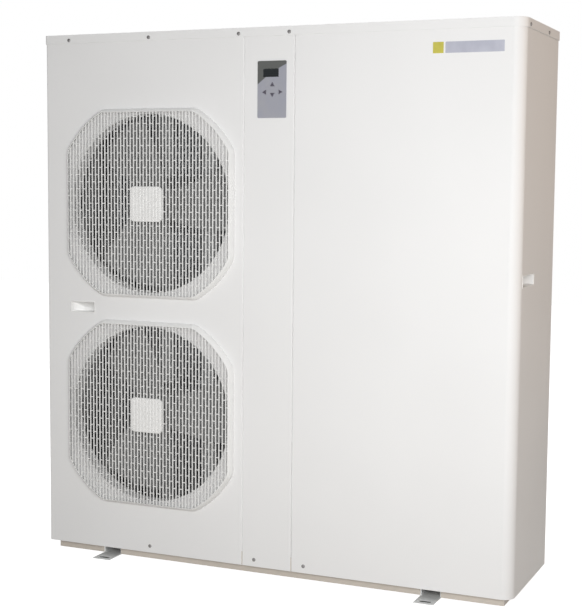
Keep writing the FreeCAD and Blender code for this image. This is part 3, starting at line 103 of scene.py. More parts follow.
def layColours(add, colour, *layers):
    # lays colours over a first one, where a pattern rises from a low grey to a high one, and up to a share
    for pattern, over, *reach in layers:
        low, high, most = (*reach, *(0, 1, 1)[len(reach):])
        share = add("MapRange", pattern, low, high, 0, most)
        colour = add("Mix", share, *[None] * 5, colour, over, data_type="RGBA").outputs[2]
    return colour


def closeFinish(finish, add, coat, colour, rub=None, rough=None, relief=None):
    # The shader. rub is the colour and share of rubbed edges, rough a pattern with two greys and the roughness
    # at each, relief a pattern with its strength and depth.
    if rub:
        worn = add("Attribute", attribute_name="rubbedEdge").outputs["Fac"]
        colour = layColours(add, colour, (worn, rub[0], 0, 1, rub[1]))
    inputs = {**coat, "Base Color": colour}
    if rough:
        inputs["Roughness"] = add("MapRange", *rough)
    if relief:
        height, strength, deep = relief
        inputs["Normal"] = add("Bump", Height=height, Strength=strength, Distance=deep * mm)
    add("OutputMaterial", Surface=add("BsdfPrincipled", **inputs))
    return finish


# Polyester powder coat, sprayed and baked: a faint orange peel breaks up its highlights. Rows have the main
# colour, a cooler one, the one of rubbed edges, two roughnesses and the size of the peel.
powderSizes = {"cloud": 260, "dust": 9, "deep": 0.03}
powderCoats = {"white_paint": ("#f0f0f0", "#eeeeee", "#f1f1f1", (0.52, 0.64), 2.6),
               "beige_paint": ("#d4ccc2", "#ccc4ba", "#dfd8cf", (0.42, 0.54), 2.2),
               "black_paint": ("#1f2022", "#17181a", "#3b3c3e", (0.34, 0.48), 3)}


def powderCoat(slot, look):
    main, cool, rub, rough, peelSize = look
    finish, add, place = newFinish(slot + "_powderCoatedSteel")
    sizes = ((powderSizes["cloud"], 1), (peelSize, 2), (powderSizes["dust"], 5))
    cloud, peel, dust = [add("TexNoise", Vector=place, Scale=1 / (size * mm), Detail=detail)
                         for size, detail in sizes]
    colour = layColours(add, main, (cloud, cool, 0.35, 0.65))
    return closeFinish(finish, add, {"IOR": 1.5}, colour, (rub, 0.7), (dust, 0.3, 0.7, *rough),
                       (peel, 0.35, powderSizes["deep"]))


# ABS, PP and PVC, injection moulded: a spark-eroded grain and slow flow shading from the mould. Rows have the
# colours, two roughnesses and the size and depth of the grain.
flowSize = 60
plastics = {"white_plastic": ("#f1f1f0", "#ededec", "#f4f4f3", (0.48, 0.36), 1.1, 0.02),
            "grey_plastic": ("#858686", "#7a7b7b", "#9a9b9b", (0.55, 0.42), 1.3, 0.03),
            "black_plastic": ("#1d1d1e", "#161617", "#333334", (0.52, 0.38), 1.2, 0.03),
            "grey_pvc": ("#6a6d71", "#606368", "#7f8287", (0.36, 0.24), 3.2, 0.015),
            "key_rubber": ("#4f4c58", "#46434e", "#8d8a97", (0.66, 0.52), 0.8, 0.01),
            "black_rubber": ("#191919", "#121212", "#2a2a2a", (0.85, 0.7), 1.5, 0.06)}


def mouldedPlastic(slot, look):
    main, cool, rub, rough, size, deep = look
    finish, add, place = newFinish(slot + "_moulded")
    flow = add("TexNoise", Vector=place, Scale=1 / (flowSize * mm), Detail=2, Distortion=0.6)
    grain = add("TexVoronoi", Vector=place, Scale=1 / (size * mm))
    colour = layColours(add, main, (flow, cool, 0.3, 0.7))
    return closeFinish(finish, add, {"IOR": 1.53}, colour, (rub, 0.6), (flow, 0.3, 0.7, *rough),
                       (grain, 0.4, deep))


# Bare and plated metals. The cells are zinc crystals, casting grain or the haze of a drawn tube. Rows have the
# colours, two roughnesses, the size and depth of the cells, and how metallic it is.
hazeSize = 35
metals = {"galvanised": ("#dcdedd", "#cacccd", "#e6e7e7", (0.52, 0.72), 9, 0.02, 0.3),
          "zinc_bolts": ("#cfcdc6", "#b9b7b0", "#e2e0da", (0.26, 0.38), 1.6, 0.01, 1),
          "dark_screws": ("#9c9a98", "#807f81", "#c2c0bd", (0.42, 0.56), 0.9, 0.01, 0.7),
          "copper": ("#c98a64", "#a96a49", "#dca683", (0.28, 0.46), 14, 0.01, 1),
          "motor_cast": ("#8e9092", "#7b7d80", "#a6a8aa", (0.48, 0.62), 1.4, 0.12, 1),
          "shaft_steel": ("#b4b5b6", "#9c9d9f", "#cfd0d1", (0.2, 0.32), 2, 0.01, 1)}


def platedMetal(slot, look):
    main, cool, rub, rough, size, deep, metallic = look
    finish, add, place = newFinish(slot + "_metal")
    crystal = add("TexVoronoi", Vector=place, Scale=1 / (size * mm))
    haze = add("TexNoise", Vector=place, Scale=1 / (hazeSize * mm), Detail=4)
    tone = add("SeparateColor", crystal.outputs["Color"])
    colour = layColours(add, main, (tone, cool, 0, 1, 0.8), (haze, cool, 0.45, 0.75, 0.5))
    return closeFinish(finish, add, {"Metallic": metallic}, colour, (rub, 0.6), (tone, 0, 1, *rough),
                       (crystal, 0.4, deep))


# Aluminium fins pressed on tubes. The real pitch of 1.8 mm is too fine to render, so every other fin is drawn.
# The gap colour is a painted shade between the fins; a share of it also paints shade along the rows of the
# tubes.
coilFinish = {"main": "#b9bcbe", "gap": "#4c4f52", "pitch": 3.6, "tubeRow": 25}


def finnedAluminium(look):
    finish, add, place = newFinish("coil_fins_pressedAluminium")
    across, back, up = add("SeparateXYZ", place).outputs
    normal = add("SeparateXYZ", add("NewGeometry").outputs["True Normal"])
    sideways = add("Math", normal, operation="ABSOLUTE")
    onSide = add("Math", sideways, 0.7, operation="GREATER_THAN")
    run = add("Mix", onSide, None, across, back, data_type="FLOAT")
    waves = []
    for source, pitch in ((run, look["pitch"]), (up, look["tubeRow"])):
        turns = add("Math", source, 2 * pi / (pitch * mm), operation="MULTIPLY")
        waves.append(add("Math", turns, operation="SINE"))
    # painted shade between the fins, and a share of the same painted shade along the rows of the tubes
    colour = layColours(add, look["gap"], (waves[0], look["main"], -0.2, 0.5),
                        (waves[1], look["gap"], 0.6, 1, 0.35))
    return closeFinish(finish, add, {"Metallic": 0.85, "Roughness": 0.42}, colour, relief=(waves[0], 0.8, 0.8))


# Screen-printed polycarbonate film: lavender grey, with a dark field above a line that starts at "edge" on the
# left, rises by "slope" and is bowed, by "bow" per metre.
plateFilm = {"field": "#a4a5ad", "fieldLow": "#9fa1ad", "dark": "#5b5d5b", "rub": "#c2c3c9", "left": -22,
             "cross": -2.7, "edge": 1123.5, "soft": 0.3, "slope": 0.767, "bow": -2.73, "cloud": 30,
             "grain": 0.7}


def printedFilm(look):
    finish, add, place = newFinish("plate_film_printedPolycarbonate")
    across, back, up = add("SeparateXYZ", place).outputs
    fromLeft, fromCross = [add("Math", across, look[key] * mm, operation="SUBTRACT")
                           for key in ("left", "cross")]
    bend = add("Math", fromLeft, fromCross, operation="MULTIPLY")
    sag = add("Math", bend, look["bow"], operation="MULTIPLY")
    rise = add("Math", fromLeft, look["slope"], sag, operation="MULTIPLY_ADD")
    above = add("Math", up, rise, operation="SUBTRACT")
    line = [(look["edge"] + side * look["soft"]) * mm for side in (-1, 1)]
    cloud, grain = [add("TexNoise", Vector=place, Scale=1 / (look[key] * mm), Detail=2)
                    for key in ("cloud", "grain")]
    colour = layColours(add, look["field"], (cloud, look["fieldLow"], 0.3, 0.7), (above, look["dark"], *line))
    return closeFinish(finish, add, {"IOR": 1.58, "Coat Weight": 0.25, "Coat Roughness": 0.2}, colour,
                       (look["rub"], 0.8), (grain, 0.3, 0.7, 0.34, 0.46), (grain, 0.3, 0.01))


# Liquid-crystal window behind clear acrylic: near black, with the faint rows of the display showing through.
windowFinish = {"glass": "#14191c", "row": "#1e2528", "pitch": 2.4, "smear": 6}


def acrylicWindow(look):
    finish, add, place = newFinish("window_clearAcrylic")
    rows = add("TexWave", Vector=place, bands_direction="Z", Scale=pi / (20 * look["pitch"] * mm))
    smear = add("TexNoise", Vector=place, Scale=1 / (look["smear"] * mm), Detail=4)
    colour = layColours(add, look["glass"], (rows.outputs["Fac"], look["row"]))
    return closeFinish(finish, add, {"IOR": 1.49, "Coat Weight": 0.3, "Coat Roughness": 0.05}, colour,
                       rough=(smear, 0.3, 0.7, 0.1, 0.22))


# Glass-fibre board under green solder mask: copper runs show as lighter lines, and what stands off it is dark.
boardFinish = {"mask": "#1f5a38", "track": "#2f7a4e", "part": "#1c1d1f", "pitch": 2.6, "patch": 16,
               "middle": -142.2, "half": 0.95}


def solderMask(look):
    finish, add, place = newFinish("board_green_solderMask")
    scale = pi / (10 * look["pitch"] * mm)
    upright, level = [add("TexWave", Vector=place, bands_direction=way, Scale=scale).outputs["Fac"]
                      for way in ("X", "Z")]
    patch = add("TexVoronoi", Vector=place, Scale=1 / (look["patch"] * mm), distance="CHEBYCHEV")
    tone = add("SeparateColor", patch.outputs["Color"])
    along = add("Math", tone, 0.5, operation="GREATER_THAN")
    run = add("Mix", along, None, upright, level, data_type="FLOAT")
    track = add("MapRange", run, 0.78, 0.9)
    depth = add("SeparateXYZ", place).outputs[1]
    off = add("Math", depth, look["middle"] * mm, operation="SUBTRACT")
    away = add("Math", off, operation="ABSOLUTE")
    stands = add("Math", away, look["half"] * mm, operation="GREATER_THAN")
    colour = layColours(add, look["mask"], (track, look["track"]), (stands, look["part"]))
    return closeFinish(finish, add, {"IOR": 1.55, "Roughness": 0.3}, colour, relief=(track, 0.5, 0.05))


# Adhesive badge films, left blank: matt ink under a thin clear layer. Rows have name, ink and its shade.
badgeEdge, badgeCloud = "#e8e8ec", 22
badgeFilms = {"badge_square": ("square", "#cdc553", "#bfb747"), "badge_film": ("strip", "#bcbecb", "#b3b5c3")}


def badgeFilm(slot, look):
    name, ink, shade = look
    finish, add, place = newFinish("badge_film_" + name)
    cloud = add("TexNoise", Vector=place, Scale=1 / (badgeCloud * mm), Detail=3)
    colour = layColours(add, ink, (cloud, shade, 0.35, 0.65))
    return closeFinish(finish, add, {"IOR": 1.5, "Coat Weight": 0.2, "Coat Roughness": 0.25}, colour,
                       (badgeEdge, 1), (cloud, 0, 1, 0.32, 0.44))


finishes = {"coil_fins": finnedAluminium(coilFinish), "plate_film": printedFilm(plateFilm),
            "window": acrylicWindow(windowFinish), "board_green": solderMask(boardFinish)}
for make, looks in ((powderCoat, powderCoats), (mouldedPlastic, plastics), (platedMetal, metals),
                    (badgeFilm, badgeFilms)):
    finishes.update({slot: make(slot, look) for slot, look in looks.items()})
print("finishes:", len(finishes))


def newShape():
    shape = bmesh.new()
    shape.faces.layers.float.new("rubbedEdge")
    return shape


def bevel(shape, geom, width, segments, affect="EDGES", clamp=False):
    return ops.bevel(shape, geom=geom, offset=width * mm, offset_type="OFFSET", affect=affect, profile=0.5,
                     segments=segments, material=-1, clamp_overlap=clamp)["faces"]


def roundEdges(shape, width, segments=2, sharper=35, edges=None):
    # bevels the sharp edges and marks the new faces as rubbed
    layer = shape.faces.layers.float["rubbedEdge"]
    chosen = edges if edges is not None else [e for e in shape.edges if len(e.link_faces) == 2
                                              and e.calc_face_angle(0) > radians(sharper)]
    for face in bevel(shape, chosen, width, segments, clamp=True):
        face[layer] = 1.0


def vertsOf(geom):
    return [v for v in geom if isinstance(v, bmesh.types.BMVert)]


def newVerts(shape, before):
    return [v for v in shape.verts if v not in before]


def lift(shape, verts, up):
    ops.translate(shape, verts=verts, vec=(0, 0, up * mm))


def turn(shape, verts, angle):
    ops.rotate(shape, verts=verts, matrix=Matrix.Rotation(angle, 3, "Z"))


def put(shape, matrix, verts=None):
    ops.transform(shape, verts=verts or shape.verts, matrix=matrix)


def faceOut(shape):
    ops.recalc_face_normals(shape, faces=shape.faces)


def edgesAmong(verts, test):
    # edges of these vertices with a test that both ends pass
    return [e for e in {e for v in verts for e in v.link_edges} if all(test(w) for w in e.verts)]


def edgesAlong(shape, axis, least):
    # edges that run along an axis for more than this length
    return [e for e in shape.edges if abs(e.verts[0].co[axis] - e.verts[1].co[axis]) > least * mm]


def cornersOf(points):
    # lowest and highest corner around points
    return [Vector([end(co[i] for co in points) for i in range(3)]) for end in (min, max)]


def addObject(name, data):
    item = bpy.data.objects.new(name, data)
    bpy.context.scene.collection.objects.link(item)
    return item


def finishPiece(shape, name, slot, replaced=(), body=None, finish=None, sharp=32, flatFaces=True):
    # turns a bmesh into a piece that rides on its body
    mesh = bpy.data.meshes.new(name)
    shape.to_mesh(mesh)
    shape.free()
    mesh.shade_smooth()
    mesh.set_sharp_from_angle(angle=radians(sharp))
    piece = addObject(name, mesh)
    mesh.materials.append(finish or finishes[slot])
    if flatFaces:
        piece.modifiers.new("flatFaces", "WEIGHTED_NORMAL").keep_sharp = True
    if replaced:
        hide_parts(*replaced)
    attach(piece, body or bodyOf[replaced[0]])
    return piece


# Nodes of one word get a second one, because the CAD node keeps its own name.
longNames = {"capacitors": "capacitorPair", "contactor": "contactorBlock", "compressor": "compressorShell",
             "partition": "partitionWall"}


def finishNode(shape, node, **more):
    # a piece that replaces a CAD node and has its name in camelCase
    words = node.split("_")
    name = longNames.get(node) or words[0] + "".join(w.capitalize() for w in words[1:])
    return finishPiece(shape, name, slotOf[node], (node,), **more)


def addWall(piece, thick):
    # sheet thickness, inwards
    wall = piece.modifiers.new("wall", "SOLIDIFY")
    wall.thickness, wall.offset = thick * mm, -1


def cadShape(node):
    # a merged copy of a CAD node
    shape = bmesh.new()
    shape.from_mesh(cadNodes[node].data)
    ops.remove_doubles(shape, verts=shape.verts, dist=1e-6)
    return shape


def addBlock(shape, low, high):
    # a box between two corners, in millimetres
    size = [(b - a) * mm for a, b in zip(low, high)]
    middle = [(a + b) / 2 * mm for a, b in zip(low, high)]
    made = ops.create_cube(shape, size=1, matrix=Matrix.Translation(middle) @ Matrix.Diagonal(size + [1]))
    return made["verts"]


def spinRows(shape, rows, steps, closed=False):
    # spins a row of radius and height pairs about Z
    verts = [shape.verts.new((radius * mm, 0, up * mm)) for radius, up in rows]
    edges = [shape.edges.new(pair) for pair in zip(verts, verts[1:] + (verts[:1] if closed else []))]
    ops.spin(shape, geom=verts + edges, cent=(0, 0, 0), axis=(0, 0, 1), angle=2 * pi, steps=steps,
             use_merge=True)


# Fan guard: an ABS moulding of close upright slats with staggered cross pieces, in a bevelled rim. "inset" is
# from the outline to the grille; slats and cross pieces reach "rooted" and "joined" into what holds them.
guard = {"levels": (("fanGuardLower", "fan_guard_lower", 355), ("fanGuardUpper", "fan_guard_upper", 853)),
         "x": -300.5, "back": -155, "half": 221.5, "round": 254, "sides": 72, "short": 12, "corner": 10,
         "wall": 1.8, "pitch": 8.64, "inset": 8.2, "rooted": 2, "slat": 2.4, "slatFront": -169.4,
         "slatBack": -165.7, "slatRound": 1.1, "cross": 33.84, "joined": 0.2, "crossHigh": 1.8,
         "crossFront": -167.9,
         "crossBack": -166.3, "clear": 4, "pad": 41, "padFront": -171.5, "padDeep": 6, "padCorner": 9,
         "padRound": 0.8, "flute": 6.2, "fluteFront": -172.5, "fluteBack": -170.9, "fluteEnd": 2.2,
         "outerEnd": 6.5, "fluteRound": 0.95}
rimProfile = [(0.01, 1), (0.4, 2), (0.6, 2.2), (1, 2.5), (1.5, 2.8), (1.9, 2.8), (1.5, 1.6), (0.7, 0.7),
              (0.5, 0.3), (0.4, -0.3), (0.3, -4)]


def insetFace(shape, face, rows):
    for inward, up in rows:
        ops.inset_individual(shape, faces=[face], thickness=inward * mm, depth=up * mm, use_even_offset=True)


def frontwards(x, y, z):
    # from flat on the ground to upright at a place, with its top to the front
    return Matrix.Translation((x, y, z)) @ Matrix.Rotation(pi / 2, 4, "X")


def makeRim(name, level):
    # a circle cut to flats at the four sides, with rounded corners between
    g, rim = guard, newShape()
    ops.create_circle(rim, cap_ends=True, segments=g["sides"], radius=g["round"] * mm)
    for way in [axes[name] for name in ("x", "-x", "y", "-y")]:
        ops.bisect_plane(rim, geom=rim.verts[:] + rim.edges[:] + rim.faces[:], plane_co=way * g["half"] * mm,
                         plane_no=way, clear_outer=True)
    flat = [v for v in rim.verts if max(abs(v.co.x), abs(v.co.y)) > (g["half"] - 0.01) * mm]
    near = {e.other_vert(v) for v in flat for e in v.link_edges if e.calc_length() < g["short"] * mm}
    short = near - set(flat)
    ops.dissolve_verts(rim, verts=list(short))
    bevel(rim, [v for v in flat if v.is_valid], g["corner"], 5, "VERTICES")
    rim.faces.ensure_lookup_table()
    top = rim.faces[0]
    insetFace(rim, top, rimProfile)
    ops.delete(rim, geom=[top], context="FACES_ONLY")
    put(rim, frontwards(g["x"] * mm, g["back"] * mm, level * mm))
    faceOut(rim)
    addWall(finishPiece(rim, name + "Rim", "white_plastic", body="casing", flatFaces=False), g["wall"])


def makeSlats(name, node, level):
    g, slats = guard, newShape()
    reach, bow = g["half"] - g["inset"], g["round"] - g["inset"]
    count = int(reach // g["pitch"])
    for index in range(-count, count + 1):
        across = index * g["pitch"]
        left = g["x"] + across - g["slat"] / 2
        tall = min(reach, sqrt(bow ** 2 - across ** 2)) + g["rooted"]
        addBlock(slats, (left, g["slatFront"], level - tall), (left + g["slat"], g["slatBack"], level + tall))
    roundEdges(slats, g["slatRound"], edges=[
        e for e in slats.edges if e.calc_length() > g["pitch"] * mm
        and all(abs(v.co.y - g["slatFront"] * mm) < 1e-6 for v in e.verts)])
    rows = int(reach // g["cross"]) + 2
    for index in range(-count - 1, count + 1):
        middle = (index + 0.5) * g["pitch"]
        half = (g["pitch"] - g["slat"]) / 2 + g["joined"]
        tall = min(reach, sqrt(bow ** 2 - middle ** 2)) - g["clear"]
        for row in range(-rows, rows + 1):
            up = (row + index % 2 / 2) * g["cross"]
            if abs(up) > tall or (abs(middle) < g["pad"] and abs(up) < g["pad"]):
                continue
            addBlock(slats, (g["x"] + middle - half, g["crossFront"], level + up - g["crossHigh"] / 2),
                     (g["x"] + middle + half, g["crossBack"], level + up + g["crossHigh"] / 2))
    finishPiece(slats, name + "Slats", "white_plastic", (node,))


def makePad(name, level):
    # the fluted plate in the middle
    g, pad = guard, newShape()
    addBlock(pad, (-g["pad"], -g["pad"], 0), (g["pad"], g["pad"], g["padDeep"]))
    bevel(pad, edgesAlong(pad, 2, 1), g["padCorner"], 6)
    roundEdges(pad, g["padRound"], sharper=60)
    put(pad, frontwards(g["x"] * mm, (g["padFront"] + g["padDeep"]) * mm, level * mm))
    flutes = int(g["pad"] // g["pitch"])
    for index in range(-flutes, flutes + 1):
        tall = g["pad"] - (g["outerEnd"] if abs(index) == flutes else g["fluteEnd"])
        left = g["x"] + index * g["pitch"] - g["flute"] / 2
        flute = addBlock(pad, (left, g["fluteFront"], level - tall),
                         (left + g["flute"], g["fluteBack"], level + tall))
        crown = edgesAmong(flute, lambda v: v.co.y < (g["fluteFront"] + 0.1) * mm)
        roundEdges(pad, g["fluteRound"], 3, edges=crown)
    finishPiece(pad, name + "Pad", "white_plastic", body="casing")


for name, node, level in guard["levels"]:
    makeRim(name, level)
    makeSlats(name, node, level)
    makePad(name, level)
print("fan guards done")


def islandsOf(node):
    # lowest and highest corner of each separate solid in a node, in metres
    shape = cadShape(node)
    left, boxes = set(shape.verts), []
    while left:
        queue, seen = [left.pop()], []
        while queue:
            vert = queue.pop()
            seen.append(vert.co)
            near = {e.other_vert(vert) for e in vert.link_edges} & left
            left -= near
            queue += near
        boxes.append(cornersOf(seen))
    shape.free()
    return boxes


def outwardOf(low, high):
    # the way a fastener's head faces, the middle of its seat and its height
    middle, size = (low + high) / 2, high - low
    thin = min(range(3), key=lambda i: size[i])
    way = Vector([0, 0, 0])
    way[thin] = 1 if middle[thin] > (cadBox[0][thin] + cadBox[1][thin]) / 2 else -1
    middle[thin] = low[thin] if way[thin] > 0 else high[thin]
    return way, middle, size[thin]


def standAt(shape, verts, way, seat):
    # from its own +Z to the way it faces
    put(shape, Matrix.Translation(seat) @ way.to_track_quat("Z", "Y").to_matrix().to_4x4(), verts)


# Cross-recess pan heads on the casing; the recess is cut into the head, and its floor is narrower by "taper".
panHead = {"radius": 4.2, "segments": 24, "profile": [(4.2, 0.9), (3.9, 0.6), (3.2, 0.45), (2.3, 0.2)],
           "crown": 0.1, "slot": 0.55, "arm": 1.9, "deep": 1.1, "taper": 0.72}


def addPanHead(shape, way, seat, high):
    p, start, before = panHead, set(shape.verts), panHead["radius"]
    ring = ops.create_circle(shape, segments=p["segments"], radius=before * mm)["verts"]
    edges = list({e for v in ring for e in v.link_edges})
    for radius, rise in p["profile"]:
        made = ops.extrude_edge_only(shape, edges=edges)["geom"]
        verts, edges = vertsOf(made), [e for e in made if isinstance(e, bmesh.types.BMEdge)]
        lift(shape, verts, rise)
        ops.scale(shape, verts=verts, vec=(radius / before, radius / before, 1))
        before = radius
    top = max(v.co.z for v in verts) + p["crown"] * mm
    cells = ops.create_grid(shape, x_segments=3, y_segments=3, size=1)["verts"]
    for vert in cells:
        x, y = [copysign((p["slot"] if abs(side) < 0.5 else p["arm"]) * mm, side) for side in vert.co.xy]
        vert.co = (x, y, top)
    faces = {f for v in cells for f in v.link_faces}
    border = list({e for f in faces for e in f.edges if len(e.link_faces) == 1})
    ops.bridge_loops(shape, edges=edges + border)
    cross = [f for f in faces if min(abs(side) for side in f.calc_center_median().xy) <= p["slot"] * mm]
    floor = vertsOf(ops.extrude_face_region(shape, geom=cross)["geom"])
    ops.delete(shape, geom=cross, context="FACES_ONLY")
    lift(shape, floor, -p["deep"])
    ops.scale(shape, verts=floor, vec=(p["taper"], p["taper"], 1))
    mine = newVerts(shape, start)
    ops.scale(shape, verts=mine, vec=(1, 1, high / max(v.co.z for v in mine)))
    standAt(shape, mine, way, seat)


def makeScrews():
    for node in ("cover_screws", "panel_screws"):
        shape = newShape()
        for low, high in islandsOf(node):
            addPanHead(shape, *outwardOf(low, high))
        faceOut(shape)
        finishNode(shape, node, flatFaces=False)


makeScrews()
print("casing screws done")


def addPrism(shape, sides, radius, tall, keep=False):
    # gives back its upper corners; radius and height in metres
    base = ops.create_circle(shape, cap_ends=True, segments=sides, radius=radius)["verts"]
    upper = vertsOf(ops.extrude_face_region(shape, geom=base[0].link_faces[:], use_keep_orig=keep)["geom"])
    lift(shape, upper, tall / mm)
    return upper


# Key: a rounded rubber arrowhead that stands through the plate, turned by its angle.
key = {"radius": 6, "corner": 1.6, "edge": 0.9,
       "turns": {"key_up": 90, "key_down": -90, "key_left": 180, "key_right": 0}}


def makeKeys():
    for node, angle in key["turns"].items():
        low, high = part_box(node)
        deep, shape = high.y - low.y, newShape()
        tip = addPrism(shape, 3, key["radius"] * mm, deep)[0].co
        turn(shape, shape.verts, radians(angle) - atan2(tip.y, tip.x))
        faceOut(shape)
        bevel(shape, edgesAlong(shape, 2, 1), key["corner"], 5)
        roundEdges(shape, key["edge"], 4, edges=edgesAmong(shape.verts, lambda v: v.co.z > deep - 0.1 * mm))
        put(shape, frontwards(0, 0, 0))
        nowLow, nowHigh = cornersOf([v.co for v in shape.verts])
        ops.translate(shape, verts=shape.verts, vec=(low + high) / 2 - (nowLow + nowHigh) / 2)
        finishNode(shape, node)


makeKeys()
print("keys done")

# Hand-hold: a moulded scoop with a flange. In front its left end is a long ramp that catches the light, below
# a sloping upper wall. Each step goes in by its part of "ramp" and "rise", drawn aside by "lean".
scoopRim = {"corner": 3.9, "thick": 1, "wall": 1.2, "out": 1.3, "steps": 10, "curve": 1.6,
            "rows": ((0.7, 0.3), (1.6, 0), (0.5, -0.4), (0.4, -1.5))}
scoops = {"front_hand_hold": {"ramp": 27, "rise": 14, "deep": 20, "lean": (0.40, -0.44)},
          "side_hand_hold": {"ramp": 7, "rise": 6, "deep": 25, "lean": (-0.45, -0.5)}}


def makeScoops():
    for node, values in scoops.items():
        low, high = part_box(node)
        front, rim, shape = node.startswith("front"), scoopRim, newShape()
        ops.create_grid(shape, x_segments=1, y_segments=1, size=0.5)
        wide = high.x - low.x if front else high.y - low.y
        ops.scale(shape, verts=shape.verts, vec=(wide, high.z - low.z, 1))
        bevel(shape, shape.verts[:], rim["corner"], 5, "VERTICES")
        face = shape.faces[:][0]
        back = ops.extrude_face_region(shape, geom=[face])["geom"]
        ops.delete(shape, geom=[face], context="FACES_ONLY")
        face = [f for f in back if isinstance(f, bmesh.types.BMFace)][0]
        lift(shape, face.verts[:], rim["thick"])
        insetFace(shape, face, rim["rows"])
        for step in range(rim["steps"]):
            part = ((step + 1) / rim["steps"]) ** rim["curve"] - (step / rim["steps"]) ** rim["curve"]
            face = ops.extrude_discrete_faces(shape, faces=[face])["faces"][0]
            middle = face.calc_center_median()
            lowest, highest = cornersOf([v.co for v in face.verts])
            inward = Vector((values["ramp"], values["rise"])) * mm * part
            narrow = [1 - inward[i] / (highest - lowest)[i] for i in (0, 1)]
            lean = [inward[i] * values["lean"][i] for i in (0, 1)]
            shift = Vector((*lean, -values["deep"] * mm / rim["steps"]))
            put(shape, Matrix.Translation(middle + shift) @ Matrix.Diagonal((*narrow, 1, 1))
                @ Matrix.Translation(-middle), face.verts[:])
        middle = (low + high) / 2
        if front:
            place = frontwards(middle.x, low.y + rim["out"] * mm, middle.z)
        else:
            place = Matrix.Translation((high.x - rim["out"] * mm, middle.y, middle.z))
            place = place @ Matrix.Rotation(pi / 2, 4, "Z") @ frontwards(0, 0, 0)
        put(shape, place)
        addWall(finishNode(shape, node, flatFaces=False, sharp=50), rim["wall"])


makeScoops()
print("hand-holds done")

# Coil guard: welded wires with a white coat in a flat frame, closer than in the CAD.
coilGuard = {"nodes": ("rear_coil_guard", "left_coil_guard"), "across": 38.2, "up": 34, "wire": 1.35,
             "sides": 8, "apart": 0.92, "frame": 5, "short": 1}


def addWire(shape, start, end):
    # between two points, in metres
    way, radius = end - start, coilGuard["wire"] * mm
    turned = way.to_track_quat("Z", "Y").to_matrix().to_4x4()
    ops.create_cone(shape, cap_ends=True, segments=coilGuard["sides"], radius1=radius, radius2=radius,
                    depth=way.length, matrix=Matrix.Translation((start + end) / 2) @ turned)


def makeCoilGuards():
    for node in coilGuard["nodes"]:
        low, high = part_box(node)
        run, through = (0, 1) if high.x - low.x > high.y - low.y else (1, 0)

        def at(along, depth, up):
            return Vector((along, depth, up) if run == 0 else (depth, along, up))

        shape, left, right = newShape(), low[run], high[run]
        wide, short = coilGuard["frame"] * mm, coilGuard["short"] * mm
        for a0, z0, a1, z1 in ((left, low.z, left + wide, high.z), (right - wide, low.z, right, high.z),
                               (left, low.z, right, low.z + wide), (left, high.z - wide, right, high.z)):
            addBlock(shape, at(a0, low[through], z0) / mm, at(a1, high[through], z1) / mm)
        roundEdges(shape, 0.5, sharper=60)
        middle, step = (low[through] + high[through]) / 2, coilGuard["wire"] * coilGuard["apart"] * mm
        columns = round((right - left) / (coilGuard["across"] * mm))
        for index in range(1, columns):
            along = left + (right - left) * index / columns
            addWire(shape, at(along, middle - step, low.z + short), at(along, middle - step, high.z - short))
        rows = round((high.z - low.z) / (coilGuard["up"] * mm))
        for index in range(1, rows):
            up = low.z + (high.z - low.z) * index / rows
            addWire(shape, at(left + short, middle + step, up), at(right - short, middle + step, up))
        finishNode(shape, node, flatFaces=False)


makeCoilGuards()
print("coil guards done")


def faceBack(shape, verts, middle):
    # from its own +Z to the rear, where the heights of its rows are places along Y
    put(shape, Matrix.Translation((middle.x, 0, middle.z)) @ Matrix.Rotation(-pi / 2, 4, "X"), verts)


# Water union: a moulded tail, a ribbed union nut and an open socket. Radii, and places along Y.
union = {"tail": 27, "nut": 34.6, "rib": 38, "bore": 25.1, "tube": 22, "tailTo": 157, "nutTo": 184,
         "end": 188, "ribs": 24, "ribHalf": 1.7, "ribRound": 1.1, "steps": 60}


def makeUnions():
    u, shape = union, newShape()
    tail, nut, bore, nutLow, nutTop, end = [u[k] for k in ("tail", "nut", "bore", "tailTo", "nutTo", "end")]
    for low, high in islandsOf("water_unions"):
        start, back = set(shape.verts), low.y / mm
        spinRows(shape, [
            (tail, back), (tail, nutLow - 0.5), (nut - 1.2, nutLow + 0.3), (nut, nutLow + 1.6),
            (nut, nutTop - 1.8), (nut - 1.6, nutTop - 0.2), (bore + 5.2, nutTop + 0.2),
            (bore + 4.6, end - 0.8), (bore + 3.6, end), (bore + 0.8, end), (bore, end - 0.8), (bore, nutLow + 4),
            (u["tube"], nutLow + 3), (u["tube"], back)], u["steps"], closed=True)
        for index in range(u["ribs"]):
            known = set(shape.verts)
            rib = addBlock(shape, (nut - 1.5, -u["ribHalf"], nutLow + 2.4),
                           (u["rib"], u["ribHalf"], nutTop - 2.6))
            bevel(shape, edgesAmong(rib, lambda v: v.co.x > (u["rib"] - 0.1) * mm), u["ribRound"], 2)
            turn(shape, newVerts(shape, known), 2 * pi * index / u["ribs"])
        faceBack(shape, newVerts(shape, start), (low + high) / 2)
    faceOut(shape)
    finishNode(shape, "water_unions", flatFaces=False)


makeUnions()
print("water unions done")

# Cable gland: a hexagon nut against the panel and a ribbed dome nut with a rubber-lined hole. Radii, and
# places along Y. The dome is a list of how much narrower it gets and at which part of its length.
gland = {"nutTo": 160.5, "nutWall": 5.5, "nutEdge": 0.8, "domeTo": 174.6, "dome": 12.6, "mouth": 7.8,
         "bore": 7, "ribs": 12, "ribHalf": 0.9, "steps": 48,
         "curve": [(0, 0.45), (0.7, 0.62), (2.2, 0.80), (3.6, 0.92)]}


